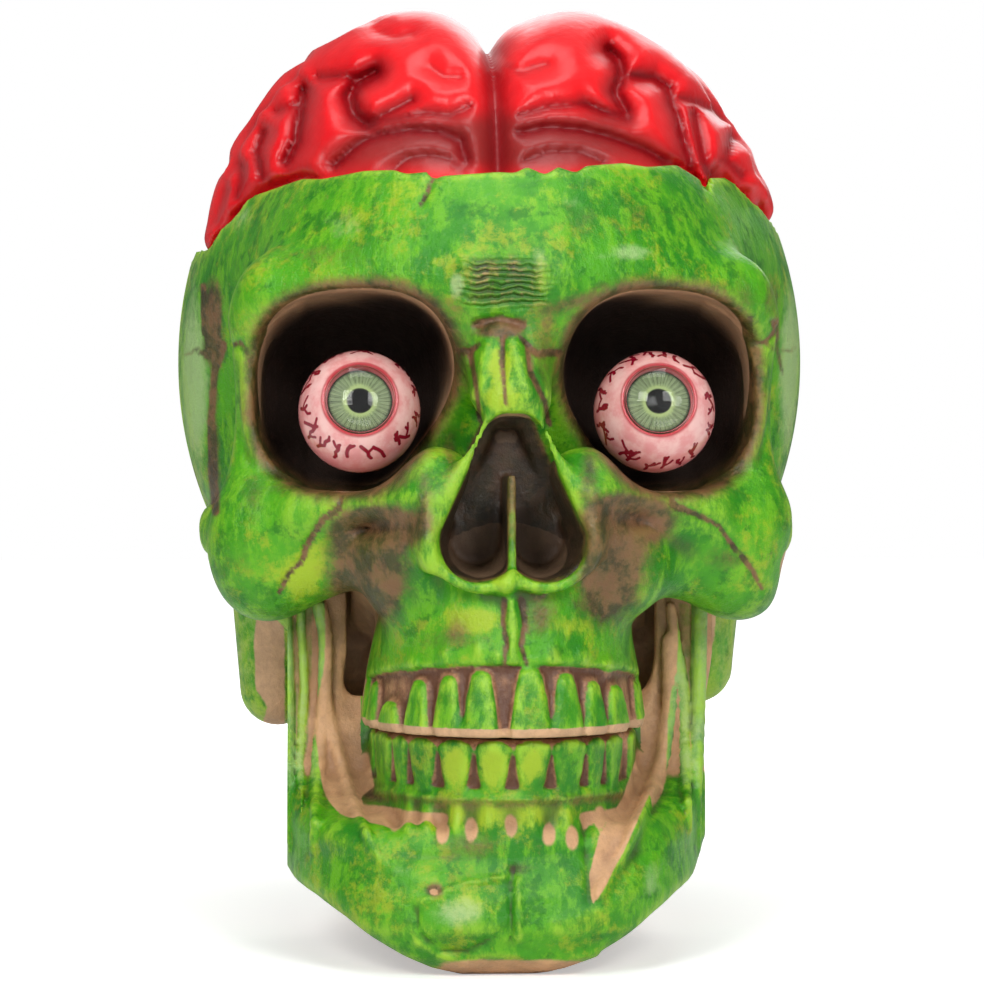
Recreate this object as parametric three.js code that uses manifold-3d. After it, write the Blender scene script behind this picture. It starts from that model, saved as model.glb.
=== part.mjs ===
// A life-size zombie skull decoration: a two-part moulded skull with an open cranium, a translucent brain
// that lights up, two staring eyeballs in deep sockets, a hinged lower jaw with torn cheek sinews, and a
// battery column that the skull stands on. Millimetres, +Z up, the face looks along -Y.
import * as THREE from "three";
import { mergeVertices } from "three/addons/utils/BufferGeometryUtils.js";
import Module from "manifold-3d";

const wasm = await Module();
wasm.setup();

// Driving sizes that several pieces share.
const wall = 3; // moulded wall of the two skull shells
const seat = 0.3; // gap between pieces that rest on or in each other
const overrun = 6; // how far a cutter runs past what it cuts
const partingY = 8; // plane where the face shell meets the back shell
const weld = 1e-4;
const smoothingGap = 0.12; // how far a moulding's facets may move when small ones are merged
// How many flat sides a round form gets, from the finest to the smallest piece.
const facets = { fine: 20, disc: 16, round: 14, post: 12, bar: 10, screw: 8, coil: 5, curve: 3 };
const sides = [
  { name: "left", sign: 1 },
  { name: "right", sign: -1 },
];

// The bony head, as ellipsoids and rounded bars that flow into each other.
const cranium = { y: 13, z: 131, halfWidth: 73.2, halfDepth: 75, halfHeight: 81.5 };
const forehead = { y: -24, z: 148, halfWidth: 56, halfDepth: 55.5, halfHeight: 42 };
const occiput = { y: 26, z: 92, halfWidth: 56, halfDepth: 53, halfHeight: 40 };
const skullCore = { y: -24, z: 84, halfWidth: 26, halfDepth: 34, halfHeight: 26 };
const upperJaw = { y: -56, z: 72, halfWidth: 25, halfDepth: 26, halfHeight: 23 };
const browBar = { innerX: 8, innerY: -74, innerZ: 145, outerX: 49, outerY: -55, outerZ: 143, radius: 8 };
const sideRim = { topX: 54, topY: -50, topZ: 136, bottomX: 56, bottomY: -45, bottomZ: 100, radius: 6 };
const cheekBone = { x: 50, y: -49, z: 91, halfWidth: 13.5, halfDepth: 11, halfHeight: 15 };
const cheekTip = { x: 52, y: -47, z: 82, radius: 7.5 };
const lowerRim = { outerX: 42, outerY: -60, outerZ: 96, innerX: 17, innerY: -73, innerZ: 102, radius: 6 };
const noseBone = { topY: -71, topZ: 137, tipY: -81, tipZ: 120, radius: 8 };
const cheekRoot = { outerX: 49, outerY: -49, outerZ: 86, innerX: 24, innerY: -60, innerZ: 85, radius: 7 };
const temple = { x: 84, y: -34, z: 120, halfWidth: 27, halfDepth: 25, halfHeight: 34, blendDepth: 6 };
const mastoid = { topX: 49, y: 23, topZ: 88, tipX: 50, tipZ: 54, radius: 9, topRadius: 13 };
const head = {
  centreY: -6, centreZ: 112, reach: 150, blendDepth: 3.2, outerDetail: 8, innerDetail: 4, leanShare: 0.35,
};

// The broken rim of the open cranium, seen from the front, falling towards the back of the head.
const rim = { frontZ: 169, sideDrop: 8, halfWidth: 70, jag: 2.4, fall: 0.075 };
const rimShares = [
  [-1, -1, 0], [-0.88, -0.6, 0], [-0.74, -0.42, -0.3], [-0.62, -0.2, 0], [-0.46, -0.05, 0.2],
  [-0.3, 0, 0.3], [-0.25, 0, -0.9], [-0.2, 0, 0.1], [-0.02, 0, -0.2], [0.1, 0, 0.3],
  [0.24, 0, 0.5], [0.42, -0.02, 0.4], [0.52, -0.08, 0.2], [0.58, -0.12, -0.8], [0.66, -0.2, 0],
  [0.8, -0.5, 0], [1, -1, 0],
];

const orbit = { x: 33.5, y: -60, z: 122, halfWidth: 20.5, halfHeight: 22.5, halfDepth: 37 };
const nostril = { topZ: 116, bottomZ: 81, halfWidth: 14.5, topHalfWidth: 5, frontY: -96, backY: -58 };
// Its outline, as shares of its half-width and of its height.
const noseShares = {
  neck: 0.62, belly: 1.1, lobe: 1.05, lobeHeight: 0.3, sole: 0.5, cleft: 0.15, cleftHeight: 0.07,
};
const septum = { thickness: 2, topZ: 104, frontY: -80 };
const cheekPocket = { innerX: 33, frontY: -44, backY: 4, ceilingZ: 95, floorZ: 30 };
const cheekArch = { frontX: 57, frontY: -44, bowX: 64, bowY: -22, backX: 63, z: 92, radius: 4.5, steps: 5 };
const ledge = { below: 10.5, depth: 4, thickness: 3 };

// The two rows of teeth stand on half-ellipse arches.
const toothArch = {
  centreY: -44, halfWidth: 29, depth: 41, run: 6, steps: 12, toothFacets: 6, toothRings: 4,
};
const upperTeeth = {
  edgeZ: 50, height: 14, plate: 3.4, count: 14, halfWidth: 3.1, halfDepth: 2.6, plateShare: 0.8,
};
const lowerTeeth = { height: 13.5, count: 14, halfWidth: 2.8, halfDepth: 2.4, inset: 1.8, bite: 0.6 };

const jaw = {
  chinY: -85, halfWidth: 45.5, rearY: -14, angleZ: 17, gumZ: 40, thickness: 11, steps: 16,
  flankInnerX: 34, flankFrontY: -39, flankRearY: -4, flankTopZ: 82, flankWall: 3.2, restFlat: 1,
  shoulderZ: 30, bulge: 4, gumEdge: 1, innerDrop: 3, innerLift: 4, rearWaistZ: 48,
};
// How square the jaw's curve is, how fast its underside rises towards the angles, and how high its belly is.
const jawShares = { square: 0.75, rise: 1.5, belly: 0.35 };
const hinge = { y: -10, z: 84, earRadius: 7.5, pinRadius: 2, headRadius: 4, headHeight: 2, bossRadius: 6 };
const sinew = { topZ: 81, y: -39.4, footY: -43, radius: 2.2, tipRadius: 1.5, steps: 4 };
const sinewShares = [
  // place across the flank at the top, at half height and at the foot, then the foot's height
  [0.95, 1.02, 1.02, 0.34],
  [0.45, 0.7, 0.92, 0.3],
  [0.35, 0.42, 0.6, 0.26],
  [0.3, 0.15, -0.12, 0.3],
];

// Brain: two lobes side by side, hollow, with folded ridges between furrows, and a skirt inside the rim.
const brain = {
  lobeX: 21, y: 6, z: 158, halfWidth: 46, halfDepth: 73.5, halfHeight: 53.5, wall: 4.6, skirtWall: 2.6,
  bridgeHalfWidth: 36, bridgeHalfDepth: 71.5, bridgeHalfHeight: 49.5, innerDetail: 10,
  furrowRadius: 3.6, furrowSteps: 8, liftShare: 0.3, tipShare: 0.5,
};
// The brain stays inside this larger oval, so that its front corners are behind the rim.
const brainCap = { y: 12, z: 150, halfWidth: 69.5, halfDepth: 75, halfHeight: 76 };
// Furrows on one lobe: shares of the lobe's half-width and half-depth, seen from above, from front to rear.
// Furrows of one side: degrees round from the front, then degrees up, seen from the middle of the brain's cap.
const furrowTurns = [
  [[46, 56], [36, 43], [34, 33], [31, 29], [27, 23], [28, 14]],
  [[31, 29], [21, 28], [10, 25], [5, 22]],
  [[70, 58], [46, 48], [44, 37], [46, 32], [38, 16]],
  [[50, 35], [58, 32], [57, 26], [51, 14]],
  [[64, 42], [72, 32], [69, 22], [68, 8]],
  [[14, 66], [33, 57], [46, 56]],
  [[41, 81], [66, 69], [94, 61], [90, 48], [84, 34], [88, 8]],
  [[149, 79], [128, 68], [114, 58], [112, 46]],
  [[104, 48], [108, 34], [104, 8]],
  [[167, 64], [148, 52], [130, 44], [122, 26], [121, 8]],
  [[172, 42], [154, 36], [138, 24], [139, 8]],
  [[174, 24], [158, 22], [156, 8]],
];

const eye = {
  x: 31.5, y: -62, z: 117.7, radius: 13, tilt: 13, irisRadius: 7.2, irisThickness: 0.8, pocketRadius: 7.5,
  pocketFloor: 9, boreRadius: 2.6, boreDepth: 8, stalkRadius: 4, spigotRadius: 2.2, padRim: 1,
};
const eyeLie = 90; // degrees from a disc that lies flat to one that faces forward
const eyeScrew = { radius: 1.5, headRadius: 3, headHeight: 2, grip: 9 };

// Battery column under the skull: two AA cells side by side, a switch bay behind them, a wire space above.
const cell = { radius: 7.1, bodyHeight: 49.5, nubRadius: 2.8, nubHeight: 1, pitch: 15, play: 0.4, y: 4.2 };
const column = { halfWidth: 25, frontY: -6, backY: 34, wall: 2.4, partition: 2, wireSpace: 6, footZ: 0 };
const flange = { thickness: 3, width: 6.2, topZ: 53 };
const door = { thickness: 3, recess: 0.6, screwX: 18.6, screwY: 24 };
const smallScrew = { radius: 1.4, headRadius: 2.5, headHeight: 1.4, grip: 8, bossRadius: 2.8, rib: 1.6 };
const spring = { radius: 4, wire: 0.5, turns: 3, height: 4.4, stepsPerTurn: 8 };
const contact = { thickness: 0.5, halfWidth: 6, halfDepth: 4, holeRadius: 1.2 };
const slider = {
  z: 30, width: 18, height: 8, depth: 6, rib: 1.6, channel: 3.4, pinRadius: 0.7, pinLength: 3,
};
const knob = { width: 6, height: 3.6, base: 1.8, baseHeight: 5, proud: 2.4, travel: 4 };

// Light: a post moulded on the column carries a round board with three lamps under the brain.
const post = { radius: 6, bore: 3.6, headRadius: 12, headHeight: 3, topZ: 138 };
const board = { radius: 14, thickness: 1.6, screwRing: 8.5, screwShift: 3.5, holeRadius: 1.2, headRadius: 2 };
const lamp = { count: 3, radius: 2.5, height: 7, ring: 7.5, flange: 0.5, flangeHeight: 1 };
const lead = { radius: 0.8, spread: 1.6, steps: 2, bend: 2, turn: 1 };

const shellScrew = { radius: 1.6, headRadius: 3, headHeight: 2.2, grip: 14, seatDepth: 4, bossRadius: 5 };
const screwInset = { upperX: 9.2, upperZ: 1, lowerX: 10, lowerZ: 10 };
const shellScrewPlaces = [
  { name: "upper", x: cranium.halfWidth - screwInset.upperX, z: cranium.z + screwInset.upperZ },
  { name: "lower", x: occiput.halfWidth - screwInset.lowerX, z: occiput.z + screwInset.lowerZ },
];

const colours = {
  green: 0x4fa52a, flesh: 0xc99a74, brain: 0xe8323c, eyeWhite: 0xe8b8b0, iris: 0x7f8a5c, clear: 0xf4f8f4,
  black: 0x161414, steel: 0xb4b6ba, copper: 0xc98a4a, cell: 0x2c5fa8, board: 0xf0efe8, lampWhite: 0xfff3d8,
  red: 0xc02020, darkWire: 0x202022,
};
function finish(colour, roughness = 0.45, metalness = 0) {
  return new THREE.MeshStandardMaterial({ color: colour, roughness, metalness });
}

// Solids from three.js geometry, and back.
function solid(geometry) {
  const bare = geometry.index ? geometry.toNonIndexed() : geometry.clone();
  for (const name of Object.keys(bare.attributes)) if (name !== "position") bare.deleteAttribute(name);
  const merged = mergeVertices(bare, weld);
  const triVerts = new Uint32Array(merged.index.array);
  const build = () => new wasm.Manifold(
    new wasm.Mesh({ numProp: 3, vertProperties: merged.attributes.position.array, triVerts }));
  const made = build();
  if (made.volume() > 0) return made;
  for (let i = 0; i < triVerts.length; i += 3) {
    [triVerts[i + 1], triVerts[i + 2]] = [triVerts[i + 2], triVerts[i + 1]];
  }
  return build();
}
function join(...solids) {
  return solids.flat().reduce((whole, next) => whole.add(next));
}
function cut(body, ...tools) {
  return tools.flat().reduce((rest, tool) => rest.subtract(tool), body);
}

const group = new THREE.Group();
function place(name, body, material) {
  const mesh = biggest(body).getMesh();
  const geometry = new THREE.BufferGeometry();
  geometry.setAttribute("position", new THREE.BufferAttribute(new Float32Array(mesh.vertProperties), 3));
  geometry.setIndex(new THREE.BufferAttribute(new Uint32Array(mesh.triVerts), 1));
  geometry.computeVertexNormals();
  const piece = new THREE.Mesh(geometry, material);
  piece.name = name;
  group.add(piece);
}

// Common solids.
const ringShare = 0.7;
function ball(x, y, z, radiusX, radiusY, radiusZ, detail) {
  return solid(new THREE.SphereGeometry(1, detail, Math.round(detail * ringShare))
    .rotateX(Math.PI / 2).scale(radiusX, radiusY, radiusZ).translate(x, y, z));
}
function block(lowX, highX, lowY, highY, lowZ, highZ) {
  return solid(new THREE.BoxGeometry(highX - lowX, highY - lowY, highZ - lowZ)
    .translate((lowX + highX) / 2, (lowY + highY) / 2, (lowZ + highZ) / 2));
}
// A round bar between two points, thicker at one end if the radii differ.
function bar(from, to, startRadius, endRadius = startRadius, around = facets.bar) {
  const axis = new THREE.Vector3().subVectors(to, from);
  const turn = new THREE.Quaternion()
    .setFromUnitVectors(new THREE.Vector3(0, 1, 0), axis.clone().normalize());
  const middle = new THREE.Vector3().addVectors(from, to).multiplyScalar(0.5);
  return solid(new THREE.CylinderGeometry(endRadius, startRadius, axis.length(), around)
    .applyMatrix4(new THREE.Matrix4().compose(middle, turn, new THREE.Vector3(1, 1, 1))));
}
const at = (x, y, z) => new THREE.Vector3(x, y, z);
// A body through rings of points, closed at both ends.
function loft(rings) {
  const points = rings.flat();
  const around = rings[0].length;
  const faces = [];
  for (let ring = 0; ring + 1 < rings.length; ring += 1) {
    for (let corner = 0; corner < around; corner += 1) {
      const a = ring * around + corner;
      const b = ring * around + ((corner + 1) % around);
      faces.push(a, b, a + around, b, b + around, a + around);
    }
  }
  for (const [ring, flip] of [[0, true], [rings.length - 1, false]]) {
    const middle = points.length;
    points.push(rings[ring].reduce((sum, p) => sum.add(p), new THREE.Vector3()).divideScalar(around));
    for (let corner = 0; corner < around; corner += 1) {
      const a = ring * around + corner;
      const b = ring * around + ((corner + 1) % around);
      faces.push(...(flip ? [middle, b, a] : [middle, a, b]));
    }
  }
  const geometry = new THREE.BufferGeometry().setFromPoints(points);
  geometry.setIndex(faces);
  return solid(geometry);
}

// A strand that runs less than this share sideways gets its ring turned the other way.
const flatShare = 0.2;
// A round strand through some points, thicker or thinner towards its end.
function tube(points, startRadius, endRadius, steps, around) {
  const curve = new THREE.CatmullRomCurve3(points);
  const rings = [];
  for (let i = 0; i <= steps; i += 1) {
    const middle = curve.getPoint(i / steps);
    const ahead = curve.getTangent(i / steps);
    const across = new THREE.Vector3(ahead.y, -ahead.x, 0);
    if (across.length() < flatShare) across.set(1, 0, 0).addScaledVector(ahead, -ahead.x);
    across.normalize();
    const up = new THREE.Vector3().crossVectors(ahead, across);
    const radius = startRadius + (endRadius - startRadius) * (i / steps);
    rings.push(Array.from({ length: around }, (_, corner) => {
      const turn = (corner / around) * 2 * Math.PI;
      return middle.clone().addScaledVector(across, radius * Math.cos(turn))
        .addScaledVector(up, radius * Math.sin(turn));
    }));
  }
  return loft(rings);
}
// An even wire through closely spaced points.
function wire(points, radius, around) {
  const rings = [];
  let across = new THREE.Vector3(1, 0, 0);
  for (let i = 0; i < points.length; i += 1) {
    const ahead = new THREE.Vector3()
      .subVectors(points[Math.min(i + 1, points.length - 1)], points[Math.max(i - 1, 0)]).normalize();
    across = across.addScaledVector(ahead, -across.dot(ahead)).normalize();
    const up = new THREE.Vector3().crossVectors(ahead, across);
    rings.push(Array.from({ length: around }, (_, corner) => {
      const turn = (corner / around) * 2 * Math.PI;
      return points[i].clone().addScaledVector(across, radius * Math.cos(turn))
        .addScaledVector(up, radius * Math.sin(turn));
    }));
  }
  return loft(rings);
}
// The largest body of a cut result, without the slivers that a furrow may free.
function biggest(body) {
  return body.decompose().reduce((best, next) => (next.volume() > best.volume() ? next : best));
}

// Distance fields, in the sense that they are 0 on a surface and below 0 inside it.
function ellipsoidField(centre, radii) {
  const near = new THREE.Vector3();
  const nearer = new THREE.Vector3();
  return (p) => {
    near.subVectors(p, centre).divide(radii);
    nearer.copy(near).divide(radii);
    const span = near.length();
    return span === 0 ? -Math.min(radii.x, radii.y, radii.z) : (span * (span - 1)) / nearer.length();
  };
}
function barField(from, to, radius) {
  const axis = new THREE.Vector3().subVectors(to, from);
  const reach = new THREE.Vector3();
  return (p) => {
    reach.subVectors(p, from);
    const along = Math.min(1, Math.max(0, reach.dot(axis) / axis.lengthSq()));
    return reach.addScaledVector(axis, -along).length() - radius;
  };
}
function blendFields(fields, blendDepth) {
  return (p) => {
    let sum = 0;
    for (const field of fields) sum += Math.exp(-field(p) / blendDepth);
    return -blendDepth * Math.log(sum);
  };
}
// The skin of a field, found along the rays of a geodesic ball: level 0 is the surface, -2 is 2 mm inside it.
function skin(field, centre, reach, level, detail) {
  const bare = new THREE.IcosahedronGeometry(1, detail);
  bare.deleteAttribute("normal");
  bare.deleteAttribute("uv");
  const geometry = mergeVertices(bare, weld);
  const places = geometry.attributes.position;
  const ray = new THREE.Vector3();
  const probe = new THREE.Vector3();
  const marches = 60;
  const halvings = 14;
  for (let i = 0; i < places.count; i += 1) {
    ray.fromBufferAttribute(places, i).normalize();
    ray.y -= head.leanShare; // closer together on the face, further apart at the back
    ray.normalize();
    const inside = (radius) => field(probe.copy(centre).addScaledVector(ray, radius)) < level;
    let outer = reach;
    while (outer > 0 && !inside(outer)) outer -= reach / marches;
    let inner = Math.max(outer, 0);
    outer = inner + reach / marches;
    for (let k = 0; k < halvings; k += 1) {
      const middle = (inner + outer) / 2;
      if (inside(middle)) inner = middle;
      else outer = middle;
    }
    places.setXYZ(i, ...probe.copy(centre).addScaledVector(ray, inner).toArray());
  }
  return solid(geometry);
}

// Head solids.
const oval = (o, x = 0) => ellipsoidField(at(x, o.y, o.z), at(o.halfWidth, o.halfDepth, o.halfHeight));
const headFields = [oval(cranium), oval(forehead), oval(occiput), oval(skullCore), oval(upperJaw),
  barField(at(0, noseBone.topY, noseBone.topZ), at(0, noseBone.tipY, noseBone.tipZ), noseBone.radius)];
for (const { sign } of sides) {
  headFields.push(
    barField(at(sign * browBar.innerX, browBar.innerY, browBar.innerZ),
      at(sign * browBar.outerX, browBar.outerY, browBar.outerZ), browBar.radius),
    barField(at(sign * sideRim.topX, sideRim.topY, sideRim.topZ),
      at(sign * sideRim.bottomX, sideRim.bottomY, sideRim.bottomZ), sideRim.radius),
    barField(at(sign * lowerRim.outerX, lowerRim.outerY, lowerRim.outerZ),
      at(sign * lowerRim.innerX, lowerRim.innerY, lowerRim.innerZ), lowerRim.radius),
    barField(at(sign * cheekRoot.outerX, cheekRoot.outerY, cheekRoot.outerZ),
      at(sign * cheekRoot.innerX, cheekRoot.innerY, cheekRoot.innerZ), cheekRoot.radius),
    oval(cheekBone, sign * cheekBone.x),
    barField(at(sign * cheekBone.x, cheekBone.y, cheekBone.z),
      at(sign * cheekTip.x, cheekTip.y, cheekTip.z), cheekTip.radius),
  );
}
const fullHead = blendFields(headFields, head.blendDepth);
const templeFields = sides.map(({ sign }) => oval(temple, sign * temple.x));
function headField(p) {
  return templeFields.reduce((field, dent) => {
    const most = Math.max(field, -dent(p));
    return most + temple.blendDepth * Math.log(
      Math.exp((field - most) / temple.blendDepth) + Math.exp((-dent(p) - most) / temple.blendDepth));
  }, fullHead(p));
}
const headCentre = at(0, head.centreY, head.centreZ);
const headSkin = (level, detail) => skin(headField, headCentre, head.reach, level, detail);
const headOuter = headSkin(0, head.outerDetail);
const headInner = headSkin(-wall, head.innerDetail);

// What lies above the broken rim, raised or lowered by some millimetres.
const far = head.reach;
function aboveRim(raise) {
  const outline = new THREE.Shape();
  outline.moveTo(-far, far);
  outline.lineTo(-far, raise - rim.sideDrop);
  for (const [across, drop, jag] of rimShares) {
    outline.lineTo(across * rim.halfWidth, raise + drop * rim.sideDrop + jag * rim.jag);
  }
  outline.lineTo(far, raise - rim.sideDrop);
  outline.lineTo(far, far);
  return solid(new THREE.ExtrudeGeometry(outline, { depth: 2 * far, bevelEnabled: false })
    .rotateX(Math.PI / 2).translate(0, far, 0).rotateX(-Math.atan(rim.fall))
    .translate(0, 0, rim.frontZ + rim.fall * (forehead.y - forehead.halfDepth)));
}
// A level slice that falls with the rim, for the ledge and the brain's skirt.
function rimSlab(low, high) {
  return solid(new THREE.BoxGeometry(2 * far, 2 * far, high - low).translate(0, 0, (low + high) / 2)
    .rotateX(-Math.atan(rim.fall)).translate(0, 0, rim.frontZ + rim.fall * (forehead.y - forehead.halfDepth)));
}

// The nose hole: a pear with two lobes at its foot, grown on all sides by some millimetres.
function noseHole(grow, frontY, backY) {
  const width = nostril.halfWidth + grow;
  const top = nostril.topHalfWidth + grow;
  const foot = nostril.bottomZ - grow;
  const crown = nostril.topZ + grow;
  const height = crown - foot;
  const outline = new THREE.Shape();
  const reachX = (share) => width * share;
  const rise = (share) => foot + height * share;
  outline.moveTo(0, crown);
  outline.bezierCurveTo(top, crown, top, crown, reachX(noseShares.neck), rise(noseShares.neck));
  outline.bezierCurveTo(reachX(noseShares.belly), rise(noseShares.lobeHeight), reachX(noseShares.lobe), foot,
    reachX(noseShares.sole), foot);
  outline.quadraticCurveTo(reachX(noseShares.cleft), foot, 0, rise(noseShares.cleftHeight));
  outline.quadraticCurveTo(-reachX(noseShares.cleft), foot, -reachX(noseShares.sole), foot);
  outline.bezierCurveTo(-reachX(noseShares.lobe), foot, -reachX(noseShares.belly), rise(noseShares.lobeHeight),
    -reachX(noseShares.neck), rise(noseShares.neck));
  outline.bezierCurveTo(-top, crown, -top, crown, 0, crown);
  const depth = backY - frontY;
  return solid(new THREE.ExtrudeGeometry(outline, { depth, bevelEnabled: false, curveSegments: facets.curve })
    .rotateX(Math.PI / 2).translate(0, backY, 0));
}

// Hollows pressed into the head: each has an inner form to cut and an outer form that keeps a wall behind it.
function hollows(grow) {
  const forms = [noseHole(grow, nostril.frontY, nostril.backY + grow)];
  for (const { sign } of sides) {
    forms.push(
      ball(sign * orbit.x, orbit.y, orbit.z, orbit.halfWidth + grow, orbit.halfDepth + grow,
        orbit.halfHeight + grow, grow > 0 ? facets.bar : facets.round),
      block(...(sign > 0 ? [cheekPocket.innerX - grow, far] : [-far, grow - cheekPocket.innerX]),
        cheekPocket.frontY - grow, cheekPocket.backY + grow, cheekPocket.floorZ, cheekPocket.ceilingZ + grow),
    );
  }
  return forms;
}

// The half-ellipse arch that both rows of teeth follow: a point at an angle from the front tooth.
function archPoint(angle, halfWidth, depth, z) {
  return at(halfWidth * Math.sin(angle), toothArch.centreY - depth * Math.cos(angle), z);
}
function archPlate(halfWidth, depth, lowZ, highZ) {
  const { steps } = toothArch;
  const outline = new THREE.Shape();
  outline.moveTo(-halfWidth, toothArch.centreY + toothArch.run);
  for (let i = 0; i <= steps; i += 1) {
    const spot = archPoint(((i / steps) * 2 - 1) * (Math.PI / 2), halfWidth, depth, 0);
    outline.lineTo(spot.x, spot.y);
  }
  outline.lineTo(halfWidth, toothArch.centreY + toothArch.run);
  return solid(new THREE.ExtrudeGeometry(outline, { depth: highZ - lowZ, bevelEnabled: false })
    .translate(0, 0, lowZ));
}
function toothRow(row, halfWidth, depth, lowZ, highZ) {
  const teeth = [];
  for (let i = 0; i < row.count; i += 1) {
    const angle = ((2 * i + 1) / row.count - 1) * (Math.PI / 2);
    const spot = archPoint(angle, halfWidth - row.halfDepth, depth - row.halfDepth, (lowZ + highZ) / 2);
    teeth.push(solid(new THREE.SphereGeometry(1, toothArch.toothFacets, toothArch.toothRings)
      .rotateX(Math.PI / 2).scale(row.halfWidth, row.halfDepth, (highZ - lowZ) / 2).rotateZ(angle)
      .translate(spot.x, spot.y, spot.z)));
  }
  return join(teeth);
}

// Shell screws run forward from deep holes in the back of the head.
const shellBosses = [];
for (const { name, sign } of sides) {
  for (const spot of shellScrewPlaces) {
    shellBosses.push({ name: `${spot.name}_${name}`, x: sign * spot.x, z: spot.z });
  }
}
const screwSeatY = partingY + shellScrew.seatDepth;
const screwTipY = screwSeatY - shellScrew.grip;
function alongY(x, z, frontY, backY, radius, around = facets.screw) {
  return bar(at(x, frontY, z), at(x, backY, z), radius, radius, around);
}

// Each socket has a flat pad on its back wall for the eye's stalk.
function socketBack(grow) {
  const across = (eye.x - orbit.x) / (orbit.halfWidth + grow);
  const up = (eye.z - orbit.z) / (orbit.halfHeight + grow);
  return orbit.y + (orbit.halfDepth + grow) * Math.sqrt(1 - across * across - up * up);
}
const eyeBackY = eye.y + eye.radius;
const padY = socketBack(0) - wall;
const stalkBackY = padY - seat;

// Heights in the column, from the floor up: door, strip, spring, cell, top contact, ceiling, wire space, roof.
const doorLowZ = column.footZ + door.recess;
const doorTopZ = doorLowZ + door.thickness;
const stripTopZ = doorTopZ + seat + contact.thickness;
const springGap = seat + spring.height + seat;
const topContactZ = stripTopZ + springGap + cell.bodyHeight + cell.nubHeight + seat;
const ceilingZ = topContactZ + contact.thickness + seat;
const wireZ = ceilingZ + column.partition;
const roofZ = wireZ + column.wireSpace;
const columnTopZ = roofZ + column.wall;
const outerX = column.halfWidth;
const innerX = column.halfWidth - column.wall;
const bayX = cell.pitch / 2 + cell.radius + cell.play;
const bayFrontY = column.frontY + column.wall;
const bayBackY = cell.y + cell.radius + cell.play;
const rearInnerY = column.backY - column.wall;
const flangeReach = flange.width;
const collarBlock = block(-outerX - seat - flangeReach, outerX + seat + flangeReach,
  column.frontY - seat - flangeReach, column.backY + seat + flangeReach, flange.topZ + seat, columnTopZ);
const collarHole = block(-outerX - seat, outerX + seat, column.frontY - seat, column.backY + seat,
  -overrun, columnTopZ + overrun);
const flangeRoom = block(-outerX - 2 * seat - flangeReach, outerX + 2 * seat + flangeReach,
  column.frontY - 2 * seat - flangeReach, column.backY + 2 * seat + flangeReach, -far, flange.topZ + seat);
const flangeScrewX = outerX + seat + flangeReach / 2;
const flangeScrewY = (column.frontY + column.backY) / 2;
const ledgeRing = cut(headSkin(-wall / 2, head.innerDetail), headSkin(-wall - ledge.depth, head.innerDetail))
  .intersect(rimSlab(-rim.sideDrop - ledge.below - ledge.thickness, -rim.sideDrop - ledge.below));

let headShell = join(cut(headOuter, headInner), headOuter.intersect(join(hollows(wall))), ledgeRing,
  collarBlock);
for (const { sign } of sides) {
  const root = join(
    bar(at(sign * mastoid.tipX, mastoid.y, mastoid.tipZ), at(sign * mastoid.topX, mastoid.y, mastoid.topZ),
      mastoid.radius, mastoid.topRadius),
    ball(sign * mastoid.tipX, mastoid.y, mastoid.tipZ, mastoid.radius, mastoid.radius, mastoid.radius,
      facets.bar),
  );
  headShell = join(headShell, cut(root, headInner));
}
headShell = join(cut(headShell, hollows(0), collarHole, flangeRoom, sides.map(({ sign }) => bar(
  at(sign * flangeScrewX, flangeScrewY, 0),
  at(sign * flangeScrewX, flangeScrewY, flange.topZ + smallScrew.grip), smallScrew.radius + seat))),
  archPlate(toothArch.halfWidth - upperTeeth.halfDepth, toothArch.depth - upperTeeth.halfDepth,
    upperTeeth.edgeZ, upperTeeth.edgeZ + upperTeeth.height * upperTeeth.plateShare),
  archPlate(toothArch.halfWidth, toothArch.depth, upperTeeth.edgeZ, upperTeeth.edgeZ + upperTeeth.plate),
  toothRow(upperTeeth, toothArch.halfWidth, toothArch.depth, upperTeeth.edgeZ,
    upperTeeth.edgeZ + upperTeeth.height));

for (const { sign } of sides) {
  // Cheek arch: a flat bar that bows out from the cheek bone to the side of the head.
  const path = new THREE.CatmullRomCurve3([
    at(sign * cheekArch.frontX, cheekArch.frontY - wall, cheekArch.z),
    at(sign * cheekArch.bowX, cheekArch.bowY, cheekArch.z),
    at(sign * cheekArch.backX, partingY + wall, cheekArch.z),
  ]);
  const section = new THREE.Shape().absarc(0, 0, cheekArch.radius, 0, 2 * Math.PI);
  const sweep = { steps: cheekArch.steps, extrudePath: path, curveSegments: facets.curve };
  const bow = solid(new THREE.ExtrudeGeometry(section, sweep));
  const boss = bar(at(sign * (cheekPocket.innerX - wall), hinge.y, hinge.z),
    at(sign * (jaw.halfWidth - jaw.flankWall - seat), hinge.y, hinge.z), hinge.bossRadius);
  headShell = join(headShell, bow, boss);
}

const faceHalf = block(-far, far, -far, partingY - seat / 2, -far, 2 * far);
const backHalf = block(-far, far, partingY + seat / 2, far, -far, 2 * far);
const openTop = aboveRim(0);
let faceShell = cut(headShell.intersect(faceHalf), openTop);
let backShell = cut(headShell.intersect(backHalf), openTop);
const innerHead = headSkin(-wall / 2, head.innerDetail);
for (const { x, z } of shellBosses) {
  const frontBoss = alongY(x, z, screwTipY - wall, partingY - seat / 2, shellScrew.bossRadius)
    .intersect(join(innerHead));
  const backBoss = alongY(x, z, partingY + seat / 2, far, shellScrew.bossRadius).intersect(headOuter);
  const hole = alongY(x, z, screwTipY - seat, far, shellScrew.radius + seat);
  const bore = alongY(x, z, screwSeatY, far, shellScrew.headRadius + seat);
  faceShell = cut(join(faceShell, frontBoss), hole);
  backShell = cut(join(backShell, backBoss), hole, bore);
}
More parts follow.
